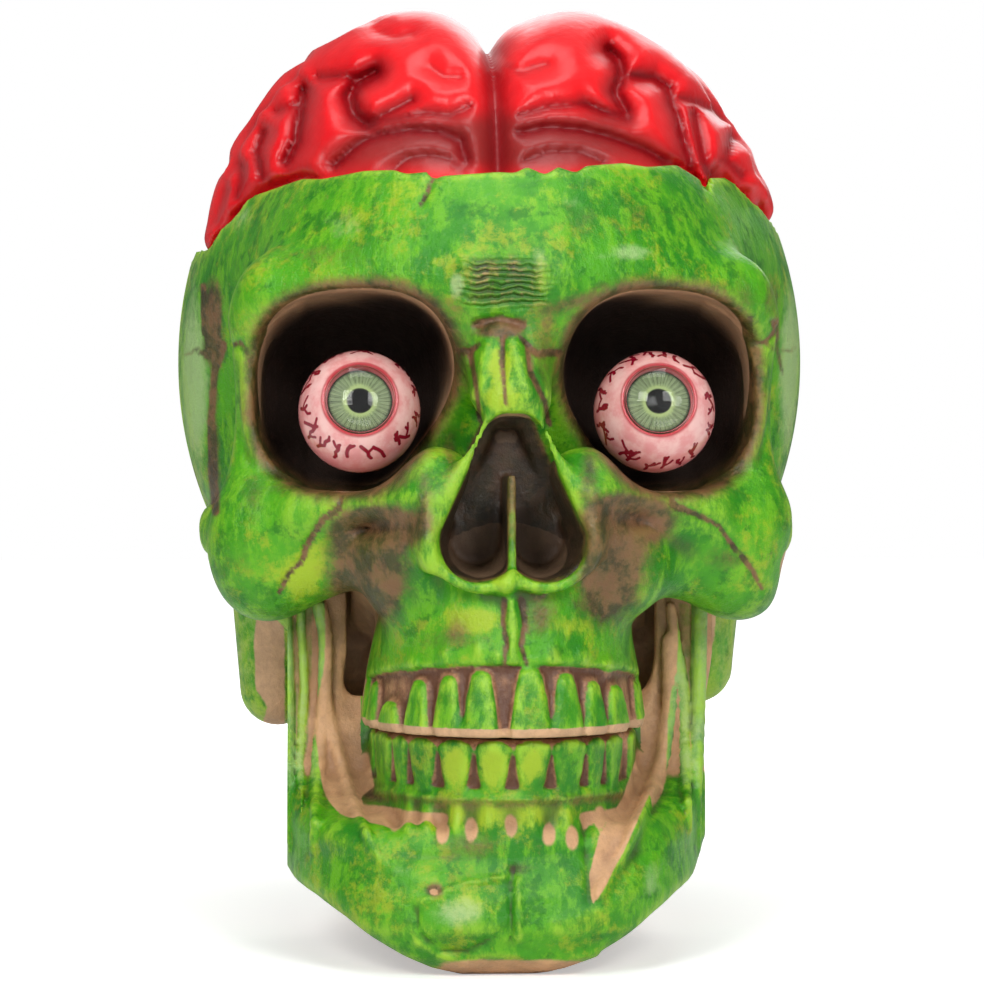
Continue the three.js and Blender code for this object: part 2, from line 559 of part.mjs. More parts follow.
for (const { sign } of sides) {
  faceShell = join(faceShell,
    alongY(sign * eye.x, eye.z, padY, socketBack(wall / 2), eye.stalkRadius + eye.padRim));
  const eyeHole = alongY(sign * eye.x, eye.z, eye.y, 0, eyeScrew.radius + seat);
  const pinHole = bar(at(sign * (cheekPocket.innerX - wall - overrun), hinge.y, hinge.z),
    at(sign * (jaw.halfWidth + overrun), hinge.y, hinge.z), hinge.pinRadius + seat, hinge.pinRadius + seat);
  faceShell = cut(faceShell, eyeHole, pinHole);
}
const nasalWall = block(-septum.thickness / 2, septum.thickness / 2, septum.frontY, nostril.backY + wall / 2,
  nostril.bottomZ - wall / 2, septum.topZ);
faceShell = join(faceShell, nasalWall);

place("face_shell", faceShell.simplify(smoothingGap), finish(colours.green));
place("back_shell", backShell.simplify(smoothingGap), finish(colours.green));
for (const { name, x, z } of shellBosses) {
  place(`shell_screw_${name}`, join(
    alongY(x, z, screwTipY, screwSeatY + shellScrew.headHeight / 2, shellScrew.radius),
    alongY(x, z, screwSeatY + seat, screwSeatY + seat + shellScrew.headHeight, shellScrew.headRadius,
      facets.bar)),
  finish(colours.steel, 0.35, 0.9));
}

// Brain: the lobes above the rim, a trimmed foot inside it, hollow right through from below.
const lobes = (grow, detail) => {
  const pair = sides.map(({ sign }) => ball(sign * brain.lobeX, brain.y, brain.z,
    brain.halfWidth + grow, brain.halfDepth + grow, brain.halfHeight + grow, detail));
  const bridge = ball(0, brain.y, brain.z, brain.bridgeHalfWidth + grow, brain.bridgeHalfDepth + grow,
    brain.bridgeHalfHeight + grow, detail);
  return join(pair, bridge).intersect(ball(0, brainCap.y, brainCap.z, brainCap.halfWidth + grow,
    brainCap.halfDepth + grow, brainCap.halfHeight + grow, facets.fine));
};
// From the middle of the cap along a direction to the skin of an upright ellipsoid.
function skinReach(direction, x, y, z, halfWidth, halfDepth, halfHeight) {
  const halves = at(halfWidth, halfDepth, halfHeight);
  const way = direction.clone().divide(halves);
  const from = at(-x, brainCap.y - y, brainCap.z - z).divide(halves);
  const along = way.dot(from);
  const room = along * along - way.lengthSq() * (from.lengthSq() - 1);
  return (Math.sqrt(Math.max(0, room)) - along) / way.lengthSq();
}
function furrow(sign, turns) {
  const path = turns.map((degrees) => {
    const [round, up] = degrees.map(THREE.MathUtils.degToRad);
    const direction = at(Math.sin(round) * Math.cos(up), -Math.cos(round) * Math.cos(up), Math.sin(up));
    const lobeReach = skinReach(direction, brain.lobeX, brain.y, brain.z,
      brain.halfWidth, brain.halfDepth, brain.halfHeight);
    const bridgeReach = skinReach(direction, 0, brain.y, brain.z,
      brain.bridgeHalfWidth, brain.bridgeHalfDepth, brain.bridgeHalfHeight);
    const capReach = skinReach(direction, 0, brainCap.y, brainCap.z,
      brainCap.halfWidth, brainCap.halfDepth, brainCap.halfHeight);
    const reach = Math.min(capReach, Math.max(lobeReach, bridgeReach)) + brain.furrowRadius * brain.liftShare;
    return at(sign * direction.x * reach, brainCap.y + direction.y * reach, brainCap.z + direction.z * reach);
  });
  return tube(path, brain.furrowRadius, brain.furrowRadius * brain.tipShare, brain.furrowSteps, facets.coil);
}
const rimInside = headSkin(-wall - 2 * seat, head.innerDetail);
const skirtInside = headSkin(-wall - 2 * seat - brain.skirtWall, head.innerDetail);
const skirtFloor = -rim.sideDrop - ledge.below + seat;
// Below the rim and a little above it, the hollow stays inside the skirt, so that the wall is never broken.
const brainHollow = lobes(-brain.wall, brain.innerDetail)
  .intersect(join(skirtInside, rimSlab(brain.wall, far)));
const brainDome = cut(lobes(0, facets.round), brainHollow)
  .intersect(rimSlab(-rim.sideDrop - wall, far)).intersect(join(aboveRim(seat), rimInside));
const brim = cut(rimInside, brainHollow, aboveRim(-wall)).intersect(rimSlab(-rim.sideDrop - wall, far));
const skirt = cut(rimInside, skirtInside, aboveRim(-wall)).intersect(rimSlab(skirtFloor, 0));
const brainForm = cut(join(brainDome, brim, skirt),
  sides.flatMap(({ sign }) => furrowTurns.map((turns) => furrow(sign, turns))));
place("brain", brainForm.simplify(smoothingGap), finish(colours.brain, 0.2));

// Eyes: ball, painted disc and clear dome on a stalk that a screw pulls against the back of the socket.
for (const { name, sign } of sides) {
  const inEye = (geometry) => solid(geometry.rotateX(THREE.MathUtils.degToRad(eyeLie - eye.tilt))
    .translate(sign * eye.x, eye.y, eye.z));
  const disc = (low, high, radius) => inEye(new THREE.CylinderGeometry(radius, radius, high - low, facets.fine)
    .rotateX(Math.PI / 2).translate(0, 0, (low + high) / 2));
  const globe = () => ball(sign * eye.x, eye.y, eye.z, eye.radius, eye.radius, eye.radius, facets.round);
  const irisLow = eye.pocketFloor + seat;
  const domeLow = irisLow + eye.irisThickness + seat;
  place(`eyeball_${name}`, cut(globe(), disc(eye.pocketFloor, eye.radius + overrun, eye.pocketRadius),
    alongY(sign * eye.x, eye.z, eyeBackY - eye.boreDepth, eyeBackY + overrun, eye.boreRadius)),
  finish(colours.eyeWhite, 0.15));
  place(`iris_${name}`, disc(irisLow, irisLow + eye.irisThickness, eye.irisRadius), finish(colours.iris));
  place(`cornea_${name}`, globe().intersect(disc(domeLow, eye.radius + overrun, eye.irisRadius)),
    finish(colours.clear, 0.05));
  const stalk = join(alongY(sign * eye.x, eye.z, eyeBackY + seat, stalkBackY, eye.stalkRadius),
    alongY(sign * eye.x, eye.z, eyeBackY + seat - eye.boreDepth + seat, eyeBackY + wall, eye.spigotRadius));
  place(`eye_stalk_${name}`, cut(stalk, alongY(sign * eye.x, eye.z, stalkBackY - eyeScrew.grip - seat,
    stalkBackY + overrun, eyeScrew.radius + seat)), finish(colours.black));
  const headY = socketBack(wall) + seat;
  place(`eye_screw_${name}`, join(
    alongY(sign * eye.x, eye.z, stalkBackY - eyeScrew.grip, headY + eyeScrew.headHeight / 2, eyeScrew.radius),
    alongY(sign * eye.x, eye.z, headY, headY + eyeScrew.headHeight, eyeScrew.headRadius, facets.bar)),
  finish(colours.steel, 0.35, 0.9));
}

// Jaw: a curved body with the lower teeth, two upright flanks with ears on the hinge pins, and torn sinews.
const jawRings = [];
for (let i = 0; i <= jaw.steps; i += 1) {
  const angle = ((i / jaw.steps) * 2 - 1) * (Math.PI / 2);
  const lean = Math.sign(angle) * Math.abs(Math.sin(angle)) ** jawShares.square;
  const depth = jaw.rearY - jaw.chinY;
  const low = jaw.angleZ * Math.abs(Math.sin(angle)) ** jawShares.rise - jaw.restFlat;
  const spot = (inset, z) =>
    at((jaw.halfWidth - inset) * lean, jaw.rearY - (depth - inset) * Math.cos(angle), z);
  const gum = (inset) => archPoint(angle, toothArch.halfWidth - inset, toothArch.depth - inset, jaw.gumZ);
  const waist = jaw.bulge * Math.cos(angle) ** 2;
  jawRings.push([
    spot(waist, low), spot(0, low + (jaw.shoulderZ - low) * jawShares.belly), spot(waist, jaw.shoulderZ),
    gum(0), gum(lowerTeeth.inset + 2 * lowerTeeth.halfDepth + jaw.gumEdge),
    spot(jaw.thickness + waist, jaw.shoulderZ - jaw.innerDrop), spot(jaw.thickness, low + jaw.innerLift),
  ]);
}
let jawBody = join(loft(jawRings).intersect(block(-far, far, -far, far, 0, far)),
  toothRow(lowerTeeth, toothArch.halfWidth - lowerTeeth.inset, toothArch.depth - lowerTeeth.inset,
    upperTeeth.edgeZ - lowerTeeth.bite - lowerTeeth.height, upperTeeth.edgeZ - lowerTeeth.bite));
const flankSide = new THREE.Shape();
flankSide.moveTo(jaw.flankFrontY, jaw.shoulderZ - jaw.flankWall);
flankSide.lineTo(jaw.flankFrontY, jaw.flankTopZ - jaw.flankWall);
flankSide.lineTo(jaw.flankFrontY + jaw.flankWall, jaw.flankTopZ);
flankSide.lineTo(hinge.y - hinge.earRadius, hinge.z);
flankSide.absarc(hinge.y, hinge.z, hinge.earRadius, Math.PI, 0, true);
flankSide.lineTo(jaw.flankRearY, jaw.rearWaistZ);
flankSide.lineTo(jaw.rearY + jaw.flankWall, jaw.angleZ + jaw.flankWall);
flankSide.lineTo(jaw.rearY - jaw.flankWall, jaw.angleZ);
flankSide.lineTo(jaw.flankFrontY + jaw.flankWall, jaw.angleZ - jaw.flankWall);
for (const { sign } of sides) {
  const low = sign > 0 ? jaw.halfWidth - jaw.flankWall : -jaw.halfWidth;
  const press = { depth: jaw.flankWall, bevelEnabled: false, curveSegments: facets.screw };
  const plate = solid(new THREE.ExtrudeGeometry(flankSide, press)
    .rotateX(Math.PI / 2).rotateZ(Math.PI / 2).translate(low, 0, 0));
  const front = block(...(sign > 0 ? [jaw.flankInnerX, jaw.halfWidth] : [-jaw.halfWidth, -jaw.flankInnerX]),
    jaw.flankFrontY, jaw.flankFrontY + jaw.flankWall, jaw.shoulderZ - jaw.flankWall,
    jaw.flankTopZ - jaw.flankWall);
  const span = jaw.halfWidth - jaw.flankInnerX;
  const strands = sinewShares.map(([top, middle, foot, height]) => tube([
    at(sign * (jaw.flankInnerX + top * span), sinew.y, sinew.topZ),
    at(sign * (jaw.flankInnerX + middle * span), (sinew.y + sinew.footY) / 2,
      (sinew.topZ + height * jaw.flankTopZ) / 2),
    at(sign * (jaw.flankInnerX + foot * span), sinew.footY, height * jaw.flankTopZ),
  ], sinew.tipRadius, sinew.radius, sinew.steps, facets.coil));
  jawBody = join(jawBody, plate, front, strands);
}
const ears = sides.map(({ sign }) => bar(at(0, hinge.y, hinge.z),
  at(sign * (jaw.halfWidth + overrun), hinge.y, hinge.z), hinge.pinRadius + seat));
place("jaw", cut(jawBody, ears).simplify(smoothingGap), finish(colours.green));
for (const { name, sign } of sides) {
  const tipX = cheekPocket.innerX - wall + seat;
  const headX = jaw.halfWidth + seat;
  place(`jaw_pin_${name}`, join(
    bar(at(sign * tipX, hinge.y, hinge.z), at(sign * (headX + hinge.headHeight / 2), hinge.y, hinge.z),
      hinge.pinRadius),
    bar(at(sign * headX, hinge.y, hinge.z), at(sign * (headX + hinge.headHeight), hinge.y, hinge.z),
      hinge.headRadius)),
  finish(colours.steel, 0.35, 0.9));
}

// Column: outer box with a cell bay, a switch bay, a wire space under the roof, flange and lamp post.
const doorScrews = sides.map(({ name, sign }) => ({ name, x: sign * door.screwX, y: door.screwY }));
const upright = (x, y, lowZ, highZ, radius, around = facets.screw) =>
  bar(at(x, y, lowZ), at(x, y, highZ), radius, radius, around);
const bossTopZ = doorTopZ + seat + smallScrew.grip + 2 * wall;
const slotHalf = (knob.width + knob.travel) / 2 + seat;
const shell = cut(
  join(
    block(-outerX, outerX, column.frontY, column.backY, column.footZ, columnTopZ),
    block(-outerX - flangeReach, outerX + flangeReach, column.frontY - flangeReach, column.backY + flangeReach,
      flange.topZ - flange.thickness, flange.topZ),
  ),
  block(-innerX, innerX, bayFrontY, rearInnerY, -overrun, roofZ),
);
const bayWalls = join(
  block(-innerX, innerX, bayBackY, bayBackY + column.partition, doorTopZ + seat, wireZ),
  block(-innerX, innerX, bayFrontY - weld, bayBackY + column.partition, ceilingZ, wireZ),
  sides.map(({ sign }) => block(
    ...(sign > 0 ? [bayX, bayX + column.partition] : [-bayX - column.partition, -bayX]),
    bayFrontY - weld, bayBackY + column.partition, doorTopZ + seat, wireZ)),
);
const switchLow = slider.z - slider.height / 2;
const switchFrontY = rearInnerY - seat - slider.depth;
const ribs = join(sides.map(({ sign }) => block(
  ...(sign > 0 ? [slider.width / 2 + seat, slider.width / 2 + seat + slider.rib]
    : [-slider.width / 2 - seat - slider.rib, -slider.width / 2 - seat]),
  switchFrontY, rearInnerY + weld, switchLow - seat - slider.rib, switchLow + slider.height)),
block(-slider.width / 2 - seat - slider.rib, slider.width / 2 + seat + slider.rib, switchFrontY,
  rearInnerY + weld, switchLow - seat - slider.rib, switchLow - seat));
const lampPost = join(upright(0, cell.y, roofZ, post.topZ, post.radius, facets.post),
  upright(0, cell.y, post.topZ - post.headHeight, post.topZ, post.headRadius, facets.disc));
const housing = cut(
  join(shell, bayWalls, ribs, lampPost,
    doorScrews.map(({ x, y }) => upright(x, y, doorTopZ + seat, bossTopZ, smallScrew.bossRadius)),
    doorScrews.map(({ x, y }) => block(...(x > 0 ? [x, innerX + seat] : [-innerX - seat, x]),
      y - smallScrew.rib / 2, y + smallScrew.rib / 2, doorTopZ + seat, bossTopZ))),
  upright(0, cell.y, roofZ - weld, far, post.bore),
  doorScrews.map(({ x, y }) => upright(x, y, 0, doorTopZ + seat + smallScrew.grip, smallScrew.radius + seat,
    facets.bar)),
  sides.map(({ sign }) => upright(sign * flangeScrewX, flangeScrewY, 0, far, smallScrew.radius + seat,
    facets.bar).intersect(block(-far, far, -far, far, 0, flange.topZ + seat))),
  sides.map(({ sign }) =>
    upright(sign * cell.pitch / 2, cell.y, topContactZ, wireZ + seat, contact.holeRadius)),
  sides.map(({ sign }) => upright(sign * board.screwRing, cell.y - board.screwShift,
    post.topZ - post.headHeight - seat, far, board.holeRadius, facets.bar)),
  block(-slotHalf, slotHalf, rearInnerY - seat, far, slider.z - knob.height / 2 - seat,
    slider.z + knob.height / 2 + seat),
);
place("column_housing", housing, finish(colours.flesh));
for (const { name, sign } of sides) {
  const headTop = flange.topZ - flange.thickness - seat;
  place(`column_screw_${name}`, join(
    upright(sign * flangeScrewX, flangeScrewY, headTop - smallScrew.headHeight / 2,
      flange.topZ + smallScrew.grip - seat, smallScrew.radius),
    upright(sign * flangeScrewX, flangeScrewY, headTop - smallScrew.headHeight, headTop, smallScrew.headRadius,
      facets.bar)),
  finish(colours.steel, 0.35, 0.9));
}

// Door on the underside, with a screw at each side.
const doorPlate = block(-innerX + seat, innerX - seat, bayFrontY + seat, rearInnerY - seat, doorLowZ,
  doorTopZ);
const doorHeadZ = doorLowZ + smallScrew.headHeight;
place("battery_door", cut(doorPlate,
  doorScrews.map(({ x, y }) => upright(x, y, -far, far, smallScrew.radius + seat, facets.bar)),
  doorScrews.map(({ x, y }) =>
    upright(x, y, -far, doorHeadZ + seat, smallScrew.headRadius + seat, facets.round))),
finish(colours.flesh));
for (const { name, x, y } of doorScrews) {
  place(`door_screw_${name}`, join(
    upright(x, y, doorHeadZ - smallScrew.headHeight / 2, doorTopZ + smallScrew.grip, smallScrew.radius),
    upright(x, y, doorLowZ, doorHeadZ, smallScrew.headRadius, facets.bar)),
  finish(colours.steel, 0.35, 0.9));
}

// Two cells head to foot, with a spring at each minus end, two plates at the top and a strip on the door.
for (const { name, sign } of sides) {
  const x = (sign * cell.pitch) / 2;
  const springLow = sign > 0 ? stripTopZ + seat : topContactZ - seat - spring.height;
  const bodyLow = sign > 0 ? stripTopZ + springGap : stripTopZ + seat + cell.nubHeight;
  const bodyHigh = bodyLow + cell.bodyHeight;
  const nub = sign > 0 ? upright(x, cell.y, bodyHigh - wall, bodyHigh + cell.nubHeight, cell.nubRadius)
    : upright(x, cell.y, bodyLow - cell.nubHeight, bodyLow + wall, cell.nubRadius);
  place(`cell_${name}`, join(upright(x, cell.y, bodyLow, bodyHigh, cell.radius, facets.disc), nub),
    finish(colours.cell, 0.3));
  const turns = spring.turns * spring.stepsPerTurn;
  const rise = spring.height - 2 * spring.wire;
  const coil = Array.from({ length: turns + 1 }, (_, i) => {
    const turn = (i / spring.stepsPerTurn) * 2 * Math.PI;
    return at(x + spring.radius * Math.cos(turn), cell.y + spring.radius * Math.sin(turn),
      springLow + spring.wire + (rise * i) / turns);
  });
  place(`cell_spring_${name}`, wire(coil, spring.wire, facets.coil), finish(colours.steel, 0.3, 0.9));
  place(`top_contact_${name}`, block(x - contact.halfWidth, x + contact.halfWidth, cell.y - contact.halfDepth,
    cell.y + contact.halfDepth, topContactZ, topContactZ + contact.thickness),
  finish(colours.steel, 0.3, 0.9));
}
place("door_strip", block(-cell.pitch / 2 - contact.halfWidth, cell.pitch / 2 + contact.halfWidth,
  cell.y - contact.halfDepth, cell.y + contact.halfDepth, doorTopZ + seat, stripTopZ),
finish(colours.steel, 0.3, 0.9));

// Switch: a body on ribs inside the rear wall, with a slot in which the knob's foot slides.
const switchTop = switchLow + slider.height;
const bodyBackY = rearInnerY - seat;
const channelY = bodyBackY - slider.channel;
const switchPins = sides.map(({ sign }) => upright(sign * slider.width / 4, (switchFrontY + channelY) / 2,
  switchTop - seat, switchTop + slider.pinLength, slider.pinRadius));
place("switch_body", join(cut(
  block(-slider.width / 2, slider.width / 2, switchFrontY, bodyBackY, switchLow, switchTop),
  block(-slotHalf - knob.base / 2, slotHalf + knob.base / 2, channelY, far,
    slider.z - knob.baseHeight / 2 - seat, slider.z + knob.baseHeight / 2 + seat),
), switchPins), finish(colours.black));
const knobX = -knob.travel / 2;
place("switch_knob", join(
  block(knobX - knob.width / 2 - knob.base / 2 + seat, knobX + knob.width / 2 + knob.base / 2 - seat,
    channelY + seat, bodyBackY - seat, slider.z - knob.baseHeight / 2, slider.z + knob.baseHeight / 2),
  block(knobX - knob.width / 2, knobX + knob.width / 2, channelY + seat, column.backY + knob.proud,
    slider.z - knob.height / 2, slider.z + knob.height / 2)), finish(colours.black));

// Light board on the post, three lamps and the three wires.
const boardLow = post.topZ + seat;
const boardHigh = boardLow + board.thickness;
const spots = Array.from({ length: lamp.count }, (_, i) => {
  const turn = (i / lamp.count) * 2 * Math.PI - Math.PI / 2;
  return { x: lamp.ring * Math.cos(turn), y: cell.y + lamp.ring * Math.sin(turn) };
});
place("light_board", cut(upright(0, cell.y, boardLow, boardHigh, board.radius, facets.fine),
  sides.map(({ sign }) => upright(sign * board.screwRing, cell.y - board.screwShift, 0, far,
    board.holeRadius + seat, facets.bar))),
finish(colours.board));
for (const { name, sign } of sides) {
  place(`board_screw_${name}`, join(
    upright(sign * board.screwRing, cell.y - board.screwShift, post.topZ - post.headHeight,
      boardHigh + smallScrew.headHeight, board.holeRadius - seat),
    upright(sign * board.screwRing, cell.y - board.screwShift, boardHigh + seat,
      boardHigh + seat + smallScrew.headHeight, board.headRadius, facets.bar)),
  finish(colours.steel, 0.35, 0.9));
}
spots.forEach(({ x, y }, i) => {
  const low = boardHigh + seat;
  place(`lamp_${i + 1}`, join(
    upright(x, y, low, low + lamp.flangeHeight, lamp.radius + lamp.flange),
    upright(x, y, low, low + lamp.height - lamp.radius, lamp.radius),
    ball(x, y, low + lamp.height - lamp.radius, lamp.radius, lamp.radius, lamp.radius, facets.screw)),
  finish(colours.lampWhite, 0.1));
});
const wireTop = boardLow - seat;
const run = wireZ + column.wireSpace / 2;
const downY = bayBackY + column.partition + lead.radius + 2 * seat;
const pinZ = switchTop + slider.pinLength + seat;
const pinY = (switchFrontY + channelY) / 2;
const postMiddleZ = (post.topZ + roofZ) / 2;
const plusX = cell.pitch / 2;
const pinX = slider.width / 4;
const leads = [
  ["lead_supply", colours.red, [
    at(-plusX, cell.y, topContactZ + contact.thickness + seat), at(-plusX, cell.y, wireZ),
    at(-plusX, cell.y + lead.bend, run), at(-plusX, downY, run), at(-pinX, downY + lead.bend, wireZ - wall),
    at(-pinX, pinY, pinZ + slider.height), at(-pinX, pinY, pinZ)]],
  ["lead_switched", colours.red, [
    at(pinX, pinY, pinZ), at(pinX, pinY, pinZ + slider.height), at(pinX, downY + lead.bend, wireZ - wall),
    at(lead.spread, downY, run), at(-lead.spread, cell.y + lead.bend + lead.turn, run),
    at(-lead.spread, cell.y, roofZ), at(-lead.spread, cell.y, postMiddleZ),
    at(-lead.spread, cell.y, wireTop)]],
  ["lead_return", colours.darkWire, [
    at(plusX, cell.y, topContactZ + contact.thickness + seat), at(plusX, cell.y, wireZ),
    at(plusX - lead.turn, cell.y, run - lead.turn), at(lead.spread + lead.turn, cell.y, run),
    at(lead.spread, cell.y, roofZ), at(lead.spread, cell.y, postMiddleZ), at(lead.spread, cell.y, wireTop)]],
];
for (const [name, colour, points] of leads) {
  const curve = new THREE.CatmullRomCurve3(points, false, "centripetal");
  const places = curve.getPoints((points.length - 1) * lead.steps);
  place(name, wire(places, lead.radius, facets.coil), finish(colour));
}

export default group;
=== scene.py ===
import functools
import math
import bpy
import numpy as np
import openvdb
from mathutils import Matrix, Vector


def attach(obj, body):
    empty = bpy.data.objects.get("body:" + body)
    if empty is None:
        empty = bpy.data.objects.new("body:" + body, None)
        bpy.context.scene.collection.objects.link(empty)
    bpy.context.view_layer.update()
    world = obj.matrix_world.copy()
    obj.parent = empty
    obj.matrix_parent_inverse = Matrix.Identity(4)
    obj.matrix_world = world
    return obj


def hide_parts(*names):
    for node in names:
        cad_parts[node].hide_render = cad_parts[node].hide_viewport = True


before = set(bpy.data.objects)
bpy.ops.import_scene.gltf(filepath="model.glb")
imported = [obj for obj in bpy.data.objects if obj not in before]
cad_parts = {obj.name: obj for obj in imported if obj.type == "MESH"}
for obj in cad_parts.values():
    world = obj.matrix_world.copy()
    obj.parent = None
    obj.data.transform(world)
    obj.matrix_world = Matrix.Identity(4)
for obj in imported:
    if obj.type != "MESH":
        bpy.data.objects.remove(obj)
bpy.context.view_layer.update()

# Studio: a long lens looks level at the face from 3 degrees to the skull's right. White paper lies under
# the skull, and two large soft boxes in front, one above and one behind light it.
mm = 0.001
sight = {"turn": math.radians(3), "distance": 750, "height": 100.6, "focus": 3226, "middle": 492}
picture = 984
sensor = 36
camera = bpy.data.cameras.new("camera")
camera.sensor_width = sensor
camera.lens = sensor * sight["focus"] / picture
camera.clip_start = 0.01
view = bpy.data.objects.new("camera", camera)
view.location = (-sight["distance"] * mm * math.sin(sight["turn"]),
                 -sight["distance"] * mm * math.cos(sight["turn"]), sight["height"] * mm)
view.rotation_euler = (math.pi / 2, 0, -sight["turn"])
bpy.context.collection.objects.link(view)
bpy.context.scene.camera = view
bpy.context.scene.view_settings.view_transform = "Standard"


class Shade:
    """A value in a node tree. Python arithmetic on it adds maths nodes."""

    def __init__(self, tree, socket):
        self.tree = tree
        self.socket = socket

    def node(self, kind, inputs, output=0, **settings):
        made = self.tree.nodes.new(kind)
        for name, value in settings.items():
            setattr(made, name, value)
        for name, value in inputs.items():
            if isinstance(value, Shade):
                self.tree.links.new(value.socket, made.inputs[name])
            else:
                made.inputs[name].default_value = value
        return Shade(self.tree, made.outputs[output])

    def maths(self, operation, *values):
        return self.node("ShaderNodeMath", dict(enumerate(values)), operation=operation)

    def __add__(self, other):
        return self.maths("ADD", self, other)

    def __radd__(self, other):
        return self.maths("ADD", other, self)

    def __sub__(self, other):
        return self.maths("SUBTRACT", self, other)

    def __rsub__(self, other):
        return self.maths("SUBTRACT", other, self)

    def __mul__(self, other):
        return self.maths("MULTIPLY", self, other)

    def __rmul__(self, other):
        return self.maths("MULTIPLY", other, self)

    def most(self, other):
        return self.maths("MAXIMUM", self, other)

    def ramp(self, low, high):
        """0 below low, 1 above high, smooth between."""
        return self.node("ShaderNodeMapRange", {"Value": self, "From Min": low, "From Max": high},
                         interpolation_type="SMOOTHSTEP")

    def tinted(self, low, high):
        """Low where this value is 0, high where it is 1; a plain colour is three 0 to 255 screen values."""
        low, high = (shade if isinstance(shade, Shade) else tint(*shade) for shade in (low, high))
        return self.node("ShaderNodeMix", {0: self, 6: low, 7: high}, 2, data_type="RGBA")

    def noise(self, scale, detail=3.0, rough=0.55, shift=0.0):
        """Cloudy noise at this place in space, with a mean of a half."""
        moved = self.node("ShaderNodeVectorMath", {0: self, 1: (shift, shift, shift)}, operation="ADD")
        return self.node("ShaderNodeTexNoise", {"Vector": moved, "Scale": scale, "Detail": detail,
                                                "Roughness": rough})


def tint(red, green, blue):
    """A colour from its 0 to 255 screen values."""
    return tuple((c / 255 / 12.92) if c / 255 <= 0.04045 else ((c / 255 + 0.055) / 1.055) ** 2.4
                 for c in (red, green, blue)) + (1.0,)


def start_material(name, reused=False):
    """A material with its shader, its place in space, and a way to read a mesh attribute."""
    material = bpy.data.materials[name] if reused else bpy.data.materials.new(name)
    material.use_nodes = True
    tree = material.node_tree
    tree.nodes.clear()
    shader = tree.nodes.new("ShaderNodeBsdfPrincipled")
    surface = tree.nodes.new("ShaderNodeOutputMaterial")
    tree.links.new(shader.outputs["BSDF"], surface.inputs["Surface"])
    place = Shade(tree, tree.nodes.new("ShaderNodeTexCoord").outputs["Object"])

    def read(attribute):
        return place.node("ShaderNodeAttribute", {}, "Fac", attribute_name=attribute)
    return material, shader, place, read


def feed(shader, socket, value):
    value.tree.links.new(value.socket, shader.inputs[socket])


world = bpy.data.worlds.new("paper_white")
bpy.context.scene.world = world
world.use_nodes = True
world.node_tree.nodes.clear()
rays = world.node_tree.nodes.new("ShaderNodeLightPath")
plain = Shade(world.node_tree, rays.outputs["Is Camera Ray"])
through = Shade(world.node_tree, rays.outputs["Is Transmission Ray"])
sky_strength = plain.most(through) * 0.77 + 0.23
sky = plain.node("ShaderNodeBackground", {"Color": (1, 1, 1, 1), "Strength": sky_strength}, "Background")
sky_out = world.node_tree.nodes.new("ShaderNodeOutputWorld")
world.node_tree.links.new(sky.socket, sky_out.inputs[0])

soft_boxes = {
    "box_left": {"place": (-0.34, -0.72, 0.52), "width": 0.26, "power": 3.3},
    "box_right": {"place": (0.30, -0.74, 0.50), "width": 0.26, "power": 3.1},
    "box_top": {"place": (0.0, -0.12, 0.85), "width": 0.45, "power": 2.6},
    "box_rear": {"place": (0.15, 0.75, 0.55), "width": 0.5, "power": 2.2},
}
for name, box in soft_boxes.items():
    light = bpy.data.lights.new(name, "AREA")
    light.size = box["width"]
    light.energy = box["power"]
    holder = bpy.data.objects.new(name, light)
    holder.location = box["place"]
    aim = Vector((0, 0, 0.11)) - Vector(box["place"])
    holder.rotation_euler = aim.to_track_quat("-Z", "Y").to_euler()
    bpy.context.collection.objects.link(holder)

bpy.ops.object.select_all(action="DESELECT")
bpy.ops.mesh.primitive_plane_add(size=8, location=(0, 0, 0))
floor = bpy.context.object
floor.name = "paper_floor"
paper, paper_shader, paper_place, _ = start_material("paper")
paper_reach = paper_place.node("ShaderNodeVectorMath", {0: paper_place}, "Value", operation="LENGTH")
paper_seen = paper_place.node("ShaderNodeLightPath", {}, "Is Camera Ray")
feed(paper_shader, "Emission Color", (paper_reach.ramp(0.1, 0.6) * 0.55 + 0.42) * paper_seen)
paper_shader.inputs["Emission Strength"].default_value = 1.0
paper_shader.inputs["Base Color"].default_value = (0.9, 0.9, 0.9, 1)
paper_shader.inputs["Roughness"].default_value = 0.9
floor.data.materials.append(paper)

# Face shell: one hollow moulding with forehead, brows, sockets, nose hole, cheekbones, cheek arches and
# upper teeth, painted green over flesh-coloured plastic. It is shaped as a field of distances in
# millimetres whose zero surface becomes the mesh, and it is screwed to the back shell along the parting.
wall = 3
parting = 8
parting_gap = 0.15


def look_up(value, rows):
    """The value between rows of (place, value)."""
    return np.interp(value, *zip(*rows))


def ticks(low, high, spacings):
    """Places from low to high whose spacing follows pairs of (place, spacing)."""
    places = [low]
    while places[-1] < high:
        places.append(places[-1] + float(look_up(places[-1], spacings)))
    return np.array(places, dtype=np.float32)


def pixel(x, y, z):
    """The photograph's pixel at which a point in millimetres is seen."""
    away = sight["distance"] + x * math.sin(sight["turn"]) + y * math.cos(sight["turn"])
    across = x * math.cos(sight["turn"]) - y * math.sin(sight["turn"])
    return (sight["middle"] + sight["focus"] * across / away,
            sight["middle"] - sight["focus"] * (z - sight["height"]) / away)


def unseen(column, row, y):
    """The point at depth y that is seen at a pixel."""
    away = sight["distance"] + y * math.cos(sight["turn"])
    across = (column - sight["middle"]) * away / sight["focus"]
    x = (across + y * math.sin(sight["turn"])) / math.cos(sight["turn"])
    return np.array([x, y, sight["height"] - (row - sight["middle"]) * away / sight["focus"]])


